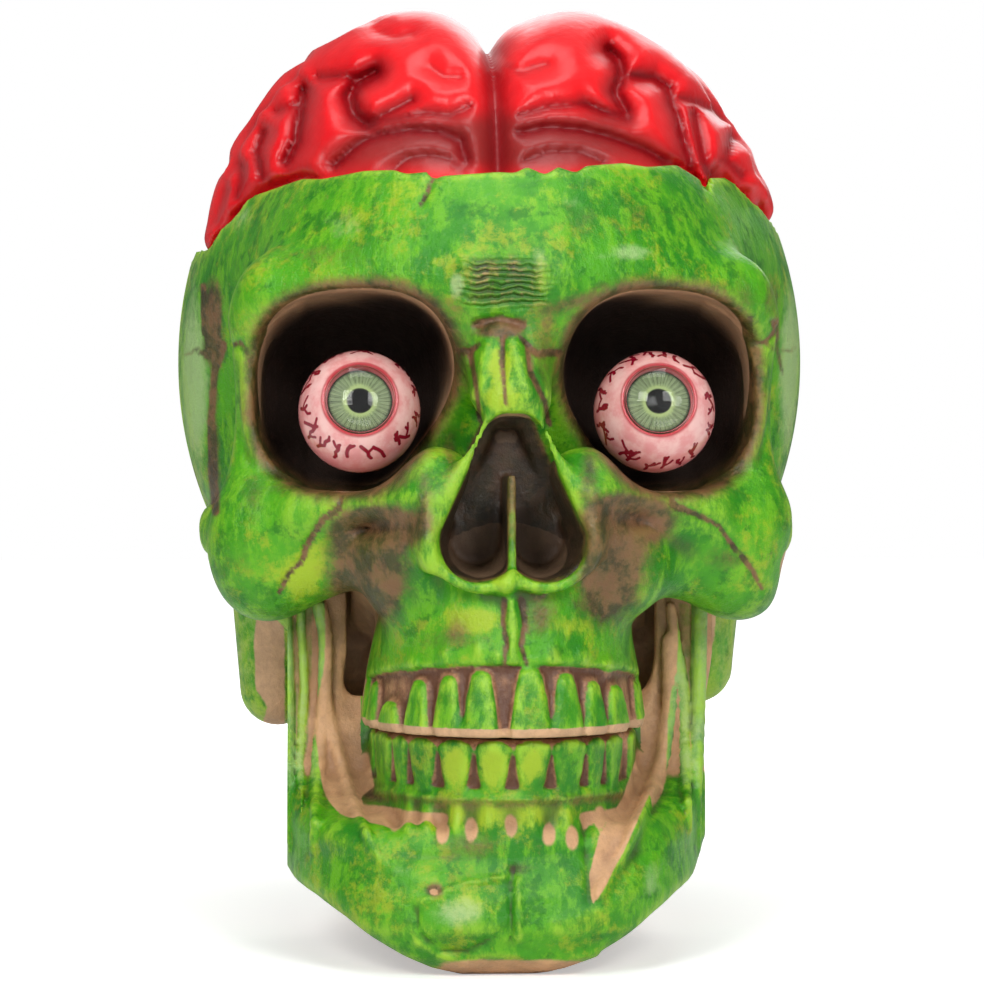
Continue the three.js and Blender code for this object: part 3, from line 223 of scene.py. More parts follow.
def mesh_of(field, axes, name):
    """The zero surface of a field on a grid, as an object in metres."""
    grid = openvdb.FloatGrid(3.0)
    grid.copyFromArray(np.clip(np.ascontiguousarray(field, dtype=np.float32), -3, 3))
    points, _, quads = grid.convertToPolygons(isovalue=0.0, adaptivity=0.0)
    points = np.stack([np.interp(points[:, i], np.arange(len(axis)), axis)
                       for i, axis in enumerate(axes)], axis=1)
    data = bpy.data.meshes.new(name)
    data.vertices.add(len(points))
    data.vertices.foreach_set("co", (points * mm).astype(np.float32).ravel())
    data.loops.add(len(quads) * 4)
    data.loops.foreach_set("vertex_index", quads.astype(np.int32).ravel())
    data.polygons.add(len(quads))
    data.polygons.foreach_set("loop_start", np.arange(len(quads), dtype=np.int32) * 4)
    data.update(calc_edges=True)
    data.validate()
    data.shade_smooth()
    piece = bpy.data.objects.new(name, data)
    bpy.context.collection.objects.link(piece)
    return piece, points


def normals_of(piece):
    """The outward direction at each vertex."""
    flat = np.empty(len(piece.data.vertices) * 3, dtype=np.float32)
    piece.data.vertex_normals.foreach_get("vector", flat)
    return flat.reshape(-1, 3)


def standing_out(piece, rounds):
    """How far each vertex stands out of its smoothed surroundings: crests above 0, hollows below."""
    data = piece.data
    ends = np.empty(len(data.edges) * 2, dtype=np.int32)
    data.edges.foreach_get("vertices", ends)
    one, two = ends.reshape(-1, 2).T
    spots = np.empty(len(data.vertices) * 3, dtype=np.float32)
    data.vertices.foreach_get("co", spots)
    spots = spots.reshape(-1, 3) / mm
    count = len(spots)
    around = np.maximum(np.bincount(one, minlength=count) + np.bincount(two, minlength=count), 1)
    smooth = spots
    for _ in range(rounds):
        smooth = np.stack([(np.bincount(one, smooth[two, i], count) + np.bincount(two, smooth[one, i], count))
                           / around for i in range(3)], axis=1)
    return np.sum((spots - smooth) * normals_of(piece), axis=1)


def note(piece, **layers):
    """Writes numbers per vertex, by name, for the material."""
    for name, values in layers.items():
        layer = piece.data.attributes.new(name, "FLOAT", "POINT")
        spread = np.broadcast_to(values, len(piece.data.vertices))
        layer.data.foreach_set("value", np.ascontiguousarray(spread, dtype=np.float32))


def oval(x, y, z, place, half):
    """Distance outside an ellipsoid, close to true near its skin."""
    near = [(a - b) / h for a, b, h in zip((x, y, z), place, half)]
    span = np.sqrt(near[0] ** 2 + near[1] ** 2 + near[2] ** 2)
    slope = np.sqrt((near[0] / half[0]) ** 2 + (near[1] / half[1]) ** 2 + (near[2] / half[2]) ** 2)
    return span * (span - 1) / np.maximum(slope, 1e-6)


def bar(x, y, z, start, end, radius, end_radius=None):
    """Distance outside a round bar that may taper."""
    axis = np.subtract(end, start).astype(np.float32)
    reach = [x - start[0], y - start[1], z - start[2]]
    along = np.clip((reach[0] * axis[0] + reach[1] * axis[1] + reach[2] * axis[2]) / (axis @ axis), 0, 1)
    gap = np.sqrt(sum((r - along * a) ** 2 for r, a in zip(reach, axis)))
    return gap - (radius if end_radius is None else radius + (end_radius - radius) * along)


def most(*fields):
    """The greatest of several values: of fields, the space that lies in all of them."""
    return functools.reduce(np.maximum, fields)


def melt(fields, soft):
    """Many bodies as one, run together where they meet."""
    return -soft * np.log(np.maximum(sum(np.exp(-field / soft) for field in fields), 1e-30))


def join(a, b, soft):
    """Two bodies as one with a fillet between them."""
    mix = np.clip(soft - np.abs(a - b), 0, None) / soft
    return np.minimum(a, b) - mix * mix * soft / 4


def carve(a, b, soft):
    """The first body without the second, its edge rounded."""
    return -join(-a, b, soft)


def step_up(value, low, high):
    """0 up to low, 1 from high on, smooth between."""
    share = np.clip((value - low) / (high - low), 0, 1)
    return share * share * (3 - 2 * share)


def head_form(x, y, z):
    """The skull's skin without holes or relief: both shells and the brain's seat are cut from it."""
    side = np.abs(x)
    form = melt([
        oval(x, y, z, (0, 13, 131), (73.2, 75, 81.5)), oval(x, y, z, (0, -24, 148), (56, 55.5, 42)),
        oval(x, y, z, (0, 26, 92), (56, 53, 40)), oval(x, y, z, (0, -24, 84), (26, 34, 26)),
        oval(x, y, z, (0, -56, 72), (25, 26, 23)), bar(x, y, z, (0, -71, 137), (0, -81, 120), 8),
        bar(side, y, z, (8, -74, 145), (49, -55, 143), 8), bar(side, y, z, (54, -50, 136), (56, -45, 100), 6),
        bar(side, y, z, (42, -60, 96), (17, -73, 102), 6), bar(side, y, z, (49, -49, 86), (24, -60, 85), 7),
        oval(side, y, z, (50, -49, 91), (13.5, 11, 15)),
        bar(side, y, z, (50, -49, 91), (52, -47, 82), 7.5)], 3.2)
    return carve(form, oval(side, y, z, (84, -34, 120), (27, 25, 34)), 12)


def socket(side, y, z, grow):
    """The eye socket, rounded square in front, narrowing backwards, with its low outer corner cut off."""
    across = side - 32.9
    up = z - 122.0
    half = [h + grow for h in (21.5, 37, 21.3)]
    flat = ((np.abs(across) / half[0]) ** 2.6 + (np.abs(up) / half[2]) ** 2.6) ** (1 / 2.6)
    deep = np.maximum(y + 60, 0) / half[1]
    round_part = (np.sqrt(flat ** 2 + deep ** 2) - 1) * half[0]
    corner = -across * 0.8 - up * 0.6 - 18 - grow
    return carve(round_part, -corner, 5)


def nose_outline(side, z):
    """Distance from the nose hole's edge in the front view: two lobes below, one neck above."""
    return bar(side, 0, z, (1.2, 0, 112.6), (6.8, 0, 90.4), 4.2, 8.4)


def nose_hole(side, y, z, grow):
    """The nose hole, as deep as y -58 and narrower towards its floor."""
    return np.maximum(nose_outline(side, z) - grow + np.clip((y + 80) / 22, 0, 1) * 3, y + 58 - grow)


def cheek_pocket(side, y, z, grow):
    """The open space behind the cheekbone, through which the jaw's flank rises."""
    return most(33 - grow - side, -44 - grow - y, y - 4 - grow, z - 95 - grow)


rim_line = [(206, 252), (213, 242), (223, 221), (239, 210), (247, 198), (268, 191), (302, 179), (323, 179),
            (364, 171), (394, 170), (406, 174), (427, 172), (433, 180), (443, 176), (498, 172), (515, 173),
            (527, 167), (545, 175), (558, 167), (576, 173), (586, 166), (623, 163), (647, 167), (676, 165),
            (688, 172), (700, 180), (706, 195), (709, 178), (725, 178), (749, 191), (766, 207), (774, 213)]


def above_rim(x, y, z):
    """Height over the broken rim: the photographed line in front, an even fall towards the back."""
    away = sight["distance"] + x * math.sin(sight["turn"]) + y * math.cos(sight["turn"])
    row = look_up(pixel(x, y, z)[0], rim_line)
    front = sight["height"] - (row - sight["middle"]) * away / sight["focus"]
    level = 163 - 0.075 * y - 8 * (np.abs(x) / 70) ** 2 + 1.1 * np.sin(x * 0.9) * np.sin(x * 0.37 + 1)
    level = level + 0.9 * np.sin(y * 0.55) * np.sin(y * 0.23 + 2)
    level = level + 6 * step_up(x, 45, 68) * step_up(60 - y, 0, 30)
    turn = np.clip((y + 25) / 25, 0, 1)
    return z - (front * (1 - turn) + level * turn)


def outline_distance(across, down, corners):
    """Distance from a closed outline in the plane, negative inside."""
    corners = np.array(corners, dtype=np.float32)
    inside = np.zeros(np.broadcast_shapes(across.shape, down.shape), dtype=bool)
    near = np.full(inside.shape, 1e6, dtype=np.float32)
    for start, end in zip(corners, np.roll(corners, -1, axis=0)):
        near = np.minimum(near, bar(across, down, 0, (*start, 0), (*end, 0), 0))
        fall = end[1] - start[1]
        at = (end[0] - start[0]) * (down - start[1]) / (fall if fall else 1) + start[0]
        inside ^= ((start[1] > down) != (end[1] > down)) & (across < at)
    return np.where(inside, -near, near)


class Sheet:
    """A flat picture in the photograph's pixels, drawn with soft strokes, spots and areas, read at points."""

    def __init__(self, strokes=(), spots=(), areas=()):
        self.rows, self.columns = np.mgrid[0:picture, 0:picture].astype(np.float32)
        self.values = np.zeros((picture, picture), dtype=np.float32)
        for stroke in strokes:
            self.stroke(*stroke)
        for spot in spots:
            self.spot(*spot)
        for area in areas:
            self.area(*area)

    def stroke(self, points, width, height, mode="add"):
        points = np.array(points, dtype=np.float32)
        low = np.maximum(points.min(axis=0) - 3 * width, 0).astype(int)
        high = np.minimum(points.max(axis=0) + 3 * width + 1, picture).astype(int)
        part = (slice(low[1], high[1]), slice(low[0], high[0]))
        near = np.full(self.values[part].shape, 1e6, dtype=np.float32)
        for start, end in zip(points[:-1], points[1:]):
            near = np.minimum(near, bar(self.columns[part], self.rows[part], 0, (*start, 0), (*end, 0), 0))
        drawn = height * np.exp(-(near / width) ** 2)
        under = self.values[part]
        self.values[part] = np.maximum(under, drawn) if mode == "most" else under + drawn

    def spot(self, centre, half, height, power=2.0, lean=0.0):
        across = self.columns - centre[0]
        down = self.rows - centre[1] - lean * across
        span = (np.abs(across / half[0]) ** power + np.abs(down / half[1]) ** power)
        self.values += height * np.exp(-span)

    def area(self, corners, soft, height):
        """Fills a closed outline, soft at its edge."""
        signed = outline_distance(self.columns, self.rows, corners)
        self.values = np.maximum(self.values, height * step_up(-signed, -soft, soft))

    def read(self, x, y, z):
        column, row = pixel(x, y, z)
        column = np.clip(column, 0, picture - 1.01)
        row = np.clip(row, 0, picture - 1.01)
        left = column.astype(np.int32)
        top = row.astype(np.int32)
        right_share = column - left
        low_share = row - top
        level = [self.values[near, left] * (1 - right_share) + self.values[near, left + 1] * right_share
                 for near in (top, top + 1)]
        return level[0] * (1 - low_share) + level[1] * low_share

    def share(self, x, y, z):
        """What is drawn at points, kept between 0 and 1."""
        return np.clip(self.read(x, y, z), 0, 1)


seams = [
    [(343, 491), (339, 508), (324, 518), (306, 546), (303, 560), (289, 573), (279, 593)],
    [(669, 485), (673, 505), (698, 515), (719, 526), (736, 550)], [(742, 556), (752, 570), (762, 589)],
    [(226, 349), (240, 342), (247, 352), (253, 368)], [(738, 345), (765, 342), (776, 330), (772, 322)],
    [(470, 352), (440, 350), (425, 362)], [(522, 340), (537, 354), (560, 352), (567, 362)],
    [(479, 345), (470, 352), (476, 385), (480, 420)], [(527, 343), (530, 372), (545, 402), (549, 425)],
    [(503, 336), (502, 365), (506, 405)], [(258, 372), (290, 366), (330, 358)],
    [(421, 205), (428, 192), (432, 180)], [(505, 600), (503, 622), (507, 645), (504, 664)],
    [(521, 600), (525, 625), (521, 645), (526, 664)],
]
nostril_foot, nose_bridge = (508, 585), [(478, 324), (500, 318), (520, 325)]
tooth_roots = ((443, 655), (478, 650), (497, 657), (553, 655), (583, 656), (412, 664), (608, 668))
relief = Sheet(
    strokes=[(seam, 2.6, 0.7) for seam in seams] + [
        (nose_bridge, 5, 1.6), ([(512, 604), (513, 660)], 6, -1.0), ([(486, 345), (476, 395)], 8, -1.1),
        ([(514, 345), (530, 395)], 8, -1.1), ([(462, 282), (466, 262)], 6, -0.6),
        ([(543, 288), (540, 262)], 6, -0.6)],
    spots=[
        ((375, 527), (28, 13), 2.4), ((632, 518), (30, 14), 2.4), ((366, 580), (30, 30), 2.2),
        ((620, 556), (25, 34), 2.0), ((425, 545), (13, 40), -2.6), ((797, 572), (24, 40), 4.0),
        ((597, 535), (13, 40), -2.6), ((405, 500), (30, 10), -0.8), ((612, 490), (30, 10), -0.8),
        (nostril_foot, (9, 12), -2.0)] + [(root, (6, 9), -0.9) for root in tooth_roots])

arch_centre = -44
upper_arch = {"half": [(48, 30.4), (52, 31.0), (62, 29.6), (72, 27.6), (82, 25.5)],
              "depth": [(48, 43.2), (51, 43.9), (62, 41.9), (66, 40.6), (72, 39.3), (82, 37.5)]}


def arch_place(x, y, z, arch):
    """Distance outside a tooth arch, and the angle along it, which runs on beyond its straight ends."""
    half = look_up(z, arch["half"])
    depth = look_up(z, arch["depth"])
    forward = np.minimum(y - arch_centre, 0) / depth
    across = x / half
    span = np.sqrt(forward ** 2 + across ** 2)
    slope = np.sqrt((forward / depth) ** 2 + (across / half) ** 2)
    angle = np.arctan2(across, np.maximum(-forward, 1e-6))
    angle = angle + np.sign(x) * np.maximum(y - arch_centre, 0) / depth
    return span * (span - 1) / np.maximum(slope, 1e-6), angle


def arch_angle(column, half, depth, z):
    """The angle on a tooth arch that is seen at a pixel column."""
    angles = np.linspace(-1.45, 1.45, 120)
    columns = pixel(half * np.sin(angles), arch_centre - depth * np.cos(angles), z)[0]
    return float(np.interp(column, columns, angles))


# Upper teeth: columns of both edges and row of the top in the photograph, read on one line of the arch.
upper_line = {"half": 30.5, "depth": 43, "z": 55}
upper_radius = 36
pixel_size = 0.2065
upper_teeth = [(377, 399, 704), (402, 428, 680), (431, 461, 674), (461, 499, 669), (510, 553, 665),
               (553, 585, 672), (585, 609, 681), (609, 630, 687)]
face_axes = [ticks(-76, 76, [(-76, 1.6), (-66, 1.3), (-58, 0.9), (58, 0.9), (66, 1.3), (76, 1.6)]),
             ticks(-92, parting + 3, [(-92, 0.9), (-45, 0.9), (-30, 1.6), (8, 2.2)]),
             ticks(46, 174, [(46, 0.8), (70, 0.9), (136, 0.9), (139, 0.62), (148, 0.62), (152, 0.9),
                             (174, 1.1)])]
x, y, z = np.meshgrid(*face_axes, indexing="ij", sparse=True)
side = np.abs(x)
base = head_form(x, y, z)
form = base.copy()
edge = nose_outline(side, z)
lip_line = look_up(z, [(82, -84), (98, -80), (116, -86)])
lip = look_up(z, [(80, 1.5), (90, 1.5), (104, 0.9), (116, 0.7)])
form = join(form, np.sqrt((edge - 0.9) ** 2 + (y - lip_line) ** 2) - lip, 2.5)
form = join(form, bar(side, y, z, (15, -74, 99), (24, -66, 84), 8.5), 9)
out, angle = arch_place(x, y, z, upper_arch)
bone_edge = 65 - 2.6 * (angle / 1.1) ** 2
gum = step_up(bone_edge - z, -0.4, 0.8) * 2.0
raised = np.zeros(np.broadcast_shapes(out.shape, z.shape), dtype=np.float32)
teeth = [(arch_angle(a, **upper_line), arch_angle(b, **upper_line),
          sight["height"] - (row - sight["middle"]) * pixel_size) for a, b, row in upper_teeth]
for sign in (-1, 1):
    teeth += [(sign * (a + 0.01), sign * (a + 0.2), 60.5) for a in (1.18, 1.4, 1.62)]
for a, b, top in teeth:
    share = np.clip((top - z) / (top - 50.5), 0, 1)
    reach = abs(b - a) / 2 * (0.32 + 0.7 * np.sqrt(share)) * upper_radius
    off = np.abs(angle - (a + b) / 2) * upper_radius
    raised = np.maximum(raised, step_up(reach - off, -0.9, 1.0) * step_up(top + 0.8 - z, 0, 2.5))
plate = most(out + gum * (1 - raised), 50 - z, y + 36, join(z - 64, -(out + 3.4), 0.5), z - 84)
form = join(form, plate, 4)
drawn = np.where(y < -38, relief.read(x, y, z), 0)
form = carve(form + drawn, socket(side, y, z, 0), 3)
form = carve(form, nose_hole(side, y, z, 0), 1.5)
rooms = [-hole(side, y, z, wall) for hole in (socket, nose_hole, cheek_pocket)]
cavity = most(base + wall + np.maximum(drawn, 0), -46 - y, *rooms)
form = most(form, -cheek_pocket(side, y, z, 0), -cavity)
form = join(form, bar(side, y, z, (51, -46, 90), (60.6, -22, 91), 7.5, 4), 5)
for level in (89.5, 92, 94.5):
    form = join(form, bar(side, y, z, (56, -44, level), (62.6, -22, level), 3), 3)
    form = join(form, bar(side, y, z, (62.6, -22, level), (61.6, 11, level), 3), 3)
socket_wall = most(-socket(side, y, z, 0), socket(side, y, z, 2.6), -55 - y, y + 22, 44 - side)
form = join(form, socket_wall, 1.5)
septum = most(side - 0.9, -81 - y + (z - 84) * 0.12, y + 56, z - 104, 80 - z)
form = np.minimum(form, septum)
web = most(np.abs(y + 22.3) - 1.5, np.abs(side - 35) - 6, 46 - z, z - 95)
form = most(join(form, web, 1.5), y - parting + parting_gap, above_rim(x, y, z))
face, face_points = mesh_of(form, face_axes, "face_moulding")
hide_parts("face_shell")
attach(face, "skull")

px, py, pz = points = face_points.T
p_side = np.abs(px)
p_socket = socket(p_side, py, pz, 0)
p_nose = nose_outline(p_side, pz)
p_out = arch_place(px, py, pz, upper_arch)[0]
depth_in = -head_form(*points)
front = step_up(-py, 38, 44)

# Brown wash along the seams, with painted shade: the dark spots under and beside the sockets, beside the nose
# and in the cheek hollows stand for shade.
washed = Sheet(
    strokes=[(seam, 2.3, 0.8, "most") for seam in seams],
    spots=[
        ((252, 500), (14, 30), 0.3), ((240, 560), (20, 20), 0.25), ((330, 255), (50, 16), 0.3),
        ((640, 215), (40, 20), 0.25), ((740, 300), (20, 30), 0.35), ((725, 560), (26, 14), 0.4),
        ((455, 640), (40, 12), 0.35), ((600, 600), (24, 30), 0.4), ((378, 528), (40, 19), 1.6),
        ((632, 518), (40, 20), 1.5), ((368, 580), (34, 42), 1.4), ((614, 562), (30, 46), 1.2),
        ((500, 328), (24, 10), 0.9, 3), ((456, 352), (16, 40), 0.45), ((545, 352), (16, 44), 0.45),
        ((310, 292), (26, 9), 0.5), ((290, 484), (24, 14), 0.5), ((575, 225), (22, 26), 0.25),
        ((450, 455), (10, 40), 0.4), ((418, 298), (44, 9), 0.5, 2, 0.25),
        ((580, 300), (44, 10), 0.5, 2, -0.3),
        ((538, 560), (14, 22), 0.3), ((540, 615), (20, 22), 0.5), ((458, 622), (14, 16), 0.35),
        ((590, 470), (10, 30), 0.5), ((425, 500), (9, 34), 0.45)])
# Dark seam lines at the temples, and painted shade in the temple hollows beside the brows.
temple_seams_and_shade = Sheet(
    strokes=[
        ([(224, 345), (215, 370), (211, 420), (212, 470), (216, 512)], 3.5, 0.9, "most"),
        ([(203, 286), (204, 330), (213, 346)], 2.6, 0.9, "most"),
        ([(182, 357), (196, 350), (206, 355), (214, 348), (222, 351)], 2.2, 0.55, "most"),
        ([(777, 320), (777, 349), (782, 372)], 2.2, 0.6, "most"),
        ([(743, 345), (756, 350), (768, 346), (780, 352), (795, 349)], 2.2, 0.5, "most"),
        ([(750, 318), (752, 345)], 3.5, 0.8, "most")],
    spots=[((214, 312), (9, 34), 0.8, 3), ((212, 350), (9, 14), 0.9), ((215, 460), (6, 50), 0.5),
           ((772, 300), (9, 26), 0.4)])
yellowed = Sheet(spots=[
    ((300, 575), (26, 26), 0.9), ((470, 620), (34, 16), 0.9), ((500, 400), (26, 16), 0.8),
    ((330, 545), (20, 14), 0.5), ((575, 625), (30, 16), 0.6), ((645, 530), (20, 10), 0.7),
    ((560, 195), (60, 22), 0.4), ((400, 190), (50, 14), 0.5), ((500, 365), (16, 22), 0.8),
    ((320, 480), (22, 12), 0.5), ((760, 585), (16, 14), 0.6), ((700, 480), (30, 12), 0.4),
    ((300, 240), (40, 20), 0.35), ((500, 580), (12, 10), 0.8)])
# Paler paint at the sides, and painted highlights: the pale spots on the forehead and brows are sheen.
pale_paint_and_sheen = Sheet(spots=[
    ((345, 225), (34, 24), 0.4), ((575, 200), (22, 12), 0.5), ((457, 285), (10, 16), 0.9),
    ((540, 262), (14, 28), 0.6), ((792, 390), (14, 120), 1.0), ((190, 390), (20, 120), 1.0),
    ((612, 256), (40, 10), 0.35), ((240, 215), (26, 26), 0.5), ((640, 250), (26, 12), 0.4)])
wide_front = step_up(-py, -12, 10)
between = step_up(65.5 - pz, 0, 1.5) * step_up(pz, 50.5, 51.5) * (p_out > -4)
in_socket = step_up(1.6 - np.abs(p_socket), 0, 1)
in_nose = (p_nose < 0.5) & (py > -78) & (py < -50) & (pz > 78) & (pz < 118)
column, row = pixel(*points)
stands = standing_out(face, 14)
note(face,
     # hollow: where the material darkens the surface with painted shade and wash.
     hollow=step_up(-stands, 0.06, 0.5),
     crest=step_up(stands, 0.12, 0.6),
     wrinkle=np.exp(-np.abs((column - 503) / 40) ** 4 - np.abs((row - 282) / 24) ** 6) * front,
     # Wash with painted shade: the seams, the temples, the hollows, and darkening round the socket and nose
     # hole edges.
     wash=most(washed.share(*points) * front, temple_seams_and_shade.share(*points) * wide_front,
               step_up(-p_socket, -5.5, 2.5) * front,
               step_up(2.0 - p_nose, 0, 2) * step_up(py, -82, -77) * front),
     gap=between * step_up(-p_out, 0.6, 1.5) * (py < -34),
     bare=most(step_up(52.3 - pz, 0, 0.8) * (py < -30), step_up(depth_in, 2.0, 2.8),
               step_up(py, -42, -39) * step_up(84 - pz, 0, 6) * (p_side < 46)),
     # dark: painted shade in the sockets, darker with depth, and in the nose hole.
     dark=most(in_socket * most(step_up(depth_in, 0.5, 24), step_up(py, -58, -38)),
               np.where(in_nose, 0.62, 0)),
     yellow=yellowed.share(*points) * wide_front,
     pale=most(pale_paint_and_sheen.share(*points) * wide_front, step_up(py, -30, 0) * 0.45))


def bump(shader, height, distance):
    feed(shader, "Normal", height.node("ShaderNodeBump", {"Height": height, "Distance": distance}))


def layered(colour, layers):
    """Colours laid over the first one, each as a (share, colour) pair."""
    for share, over in layers:
        colour = share.tinted(colour, over)
    return colour


def painted(name, flesh=(212, 170, 130)):
    """Mottled green paint over flesh plastic, with brown washes and painted shade in the hollows and yellow
    on the crests.
    """
    material, shader, place, read = start_material(name)
    broad = place.noise(52, 4, 0.6)
    spotty = place.noise(165, 6, 0.7, 0.3)
    fine = place.noise(480, 5, 0.7, 0.7)
    speck = place.noise(300, 6, 0.78, 1.3)
    stretched = place.node("ShaderNodeMapping", {"Vector": place, "Scale": (2.4, 2.4, 1.0)})
    streak = stretched.noise(95, 6, 0.72, 0.5)
    # hollow is painted shade where the surface dips below its surroundings, along with the brown wash there.
    hollow = read("hollow")
    wrinkle = read("wrinkle")
    ochre = place.noise(74, 6, 0.75, 2.1).ramp(0.5, 0.62) * speck.ramp(0.42, 0.58)
    yellow = (read("yellow") + streak * 0.9 + speck * 0.8 - 1.12).ramp(0.0, 0.4)
    # pale: paler paint, and painted sheen on the forehead, brows and chin.
    pale = (read("pale") + broad * 0.7 + speck * 0.7 - 1.0).ramp(0.0, 0.5)
    # Brown wash, which also carries painted shade in the hollows and round the sockets and nose hole.
    wash = (read("wash") * 1.25 + speck * 0.8 + hollow * 0.25 - 0.5).ramp(0.0, 0.75)
    earth = spotty.ramp(0.4, 0.6).tinted((62, 38, 30), (126, 84, 60))
    # Wrinkles between the brows: lines whose grooves are painted dark brown as shade, over a bump.
    height = place.node("ShaderNodeSeparateXYZ", {"Vector": place}, "Z")
    lines = height * 4700 + place.noise(75, 3, 0.6, 3.0) * 24 + place.noise(380, 3, 0.6, 1.0) * 5
    ridge = lines.maths("SINE", lines) * 0.5 + 0.5
    furrowed = ridge.ramp(0.25, 0.8).tinted(
        (56, 42, 26), speck.ramp(0.45, 0.6).tinted((96, 130, 40), (176, 138, 94)))
    gap = (read("gap") + fine * 0.3 - 0.15).ramp(0.1, 0.7)
    gum = speck.ramp(0.4, 0.62).tinted((140, 96, 70), (186, 138, 102))
    bare = (read("bare") + spotty * 0.5 - 0.25).ramp(0.3, 0.6)
    plain = spotty.ramp(0.35, 0.65).tinted([0.88 * part for part in flesh], flesh)
    colour = layered(broad.ramp(0.38, 0.6).tinted((36, 126, 8), (74, 158, 10)), [
        (streak.ramp(0.45, 0.6) * 0.9, (100, 172, 18)),
        (spotty.ramp(0.52, 0.64) * 0.8, (26, 112, 8)),
        (ochre * 0.55, (168, 176, 34)),
        (yellow * 0.85, (164, 188, 36)),
        (pale * 0.8, (168, 196, 132)),
        (read("crest") * streak.ramp(0.35, 0.6) * 0.75, (158, 202, 52)),
        (speck.ramp(0.6, 0.72) * 0.3, (140, 124, 56)),
        # Painted shade: darker green in the hollows.
        (hollow * 0.8, (44, 82, 20)),
        (wash * 0.9, earth),
        (wrinkle * (streak.ramp(0.4, 0.6) * 0.6 + 0.4), furrowed),
        # Gaps and bare plastic also get painted shade, darker brown in their hollows.
        (gap, (hollow * 0.9).tinted(gum, (84, 50, 34))),
        (bare, (hollow * 0.45).tinted(plain, (120, 78, 52))),
        # Painted shade, near black, in the sockets, the nose hole and under the cheekbones.
        (read("dark").ramp(0.0, 0.95), (50, 39, 34)),
    ])
    feed(shader, "Base Color", colour)
    feed(shader, "Roughness", spotty * 0.3 + 0.22 + bare * 0.1)
    shader.inputs["Specular IOR Level"].default_value = 0.4
    bump(shader, spotty * 0.7 + fine * 0.4 + streak * 0.5 + wrinkle * ridge * 1.2, 0.0007)
    return material


face.data.materials.append(painted("face_paint"))

# Back shell: the paler rear half of the head with the two bony knobs behind the jaw joint, screwed on at the
# parting. The column and its lamp post rise through a stepped hole in its underside.
back_axes = [ticks(-76, 76, [(-76, 1.4), (76, 1.4)]), ticks(parting - 3, 90, [(5, 1.4), (90, 1.6)]),
             ticks(42, 170, [(42, 1.4), (170, 1.5)])]
x, y, z = np.meshgrid(*back_axes, indexing="ij", sparse=True)
side = np.abs(x)
base = head_form(x, y, z)
form = most(base, -most(base + wall, 62 - z))
knobs = [bar(side, y, z, (49, 23, 88), (50, 23, foot), 13, 9) for foot in (59, 54)]
form = join(form, most(np.where(x > 0, *knobs), -(base + wall)), 5)
column_hole = most(side - 31.8, y - 40.8, z - 53.3)
post_hole = most(side - 25.3, y - 34.3, z - 110)
form = most(form, parting + parting_gap - y, above_rim(x, y, z), -column_hole, -post_hole)
back, back_points = mesh_of(form, back_axes, "back_moulding")
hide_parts("back_shell")
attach(back, "skull")
# Cracks on the back shell, and painted shade in the temple hollow beside the left brow.
cracks_and_shade = Sheet(
    strokes=[(crack, 3, 0.9, "most") for crack in (
        [(204, 344), (216, 350), (226, 340)], [(210, 338), (212, 362)], [(182, 352), (198, 348), (216, 356)],
        [(776, 350), (796, 352)], [(782, 340), (774, 362)], [(215, 520), (212, 560), (222, 585)])],
    spots=[((214, 320), (9, 34), 0.8), ((196, 480), (10, 30), 0.4), ((792, 430), (8, 40), 0.3)])
mastoid_bare = Sheet(areas=[
    ([(258, 600), (284, 600), (284, 730), (262, 728), (268, 705), (256, 690), (254, 640)], 5, 1.0),
    ([(704, 600), (716, 600), (714, 640), (704, 672)], 5, 1.0)])
points = back_points.T
sides_seen = step_up(42 - points[1], 0, 12)
stands = standing_out(back, 8)
note(back,
     # hollow: where the material darkens the surface with painted shade and wash.
     hollow=step_up(-stands, 0.1, 0.6),
     crest=step_up(stands, 0.2, 0.9),
     wrinkle=0, gap=0, dark=0, yellow=0.45, pale=0.4,
     wash=cracks_and_shade.share(*points) * sides_seen,
     bare=most(step_up(-head_form(*points), 2.0, 2.8) * (points[2] > 60),
               mastoid_bare.share(*points) * sides_seen))
back.data.materials.append(painted("back_paint"))

# Lower jaw: one moulding with chin, lower teeth, two upright flanks on the hinge pins and torn sinews that
# rise from its corners over a bare cheek wall, painted like the face.
jaw_rear = -14
jaw_axes = [ticks(-47, 47, [(-47, 0.8), (47, 0.8)]), ticks(-88, 3, [(-88, 0.8), (-34, 0.8), (-30, 1.6)]),
            ticks(-1.5, 93, [(-1.5, 0.8), (93, 0.8)])]
x, y, z = np.meshgrid(*jaw_axes, indexing="ij", sparse=True)
side = np.abs(x)
square = 3.2
round_front = 2.4


def jaw_side(x, y, z):
    """Distance from the jaw's own middle plane, which lies to the skull's right below the teeth."""
    return np.abs(x + (2.2 + 0.3 * step_up(-y, 45, 65)) * step_up(66 - z, 0, 16))


def jaw_arch(side, y, half, depth):
    """Distance outside a squarish arch that starts at the jaw's rear."""
    across = np.maximum(side, 0.01) / half
    forward = np.maximum(jaw_rear - y, 0) / depth
    value = across ** square + forward ** round_front - 1
    slope = np.sqrt((square * across ** (square - 1) / half) ** 2
                    + (round_front * forward ** (round_front - 1) / depth) ** 2)
    return value / np.maximum(slope, 0.012)


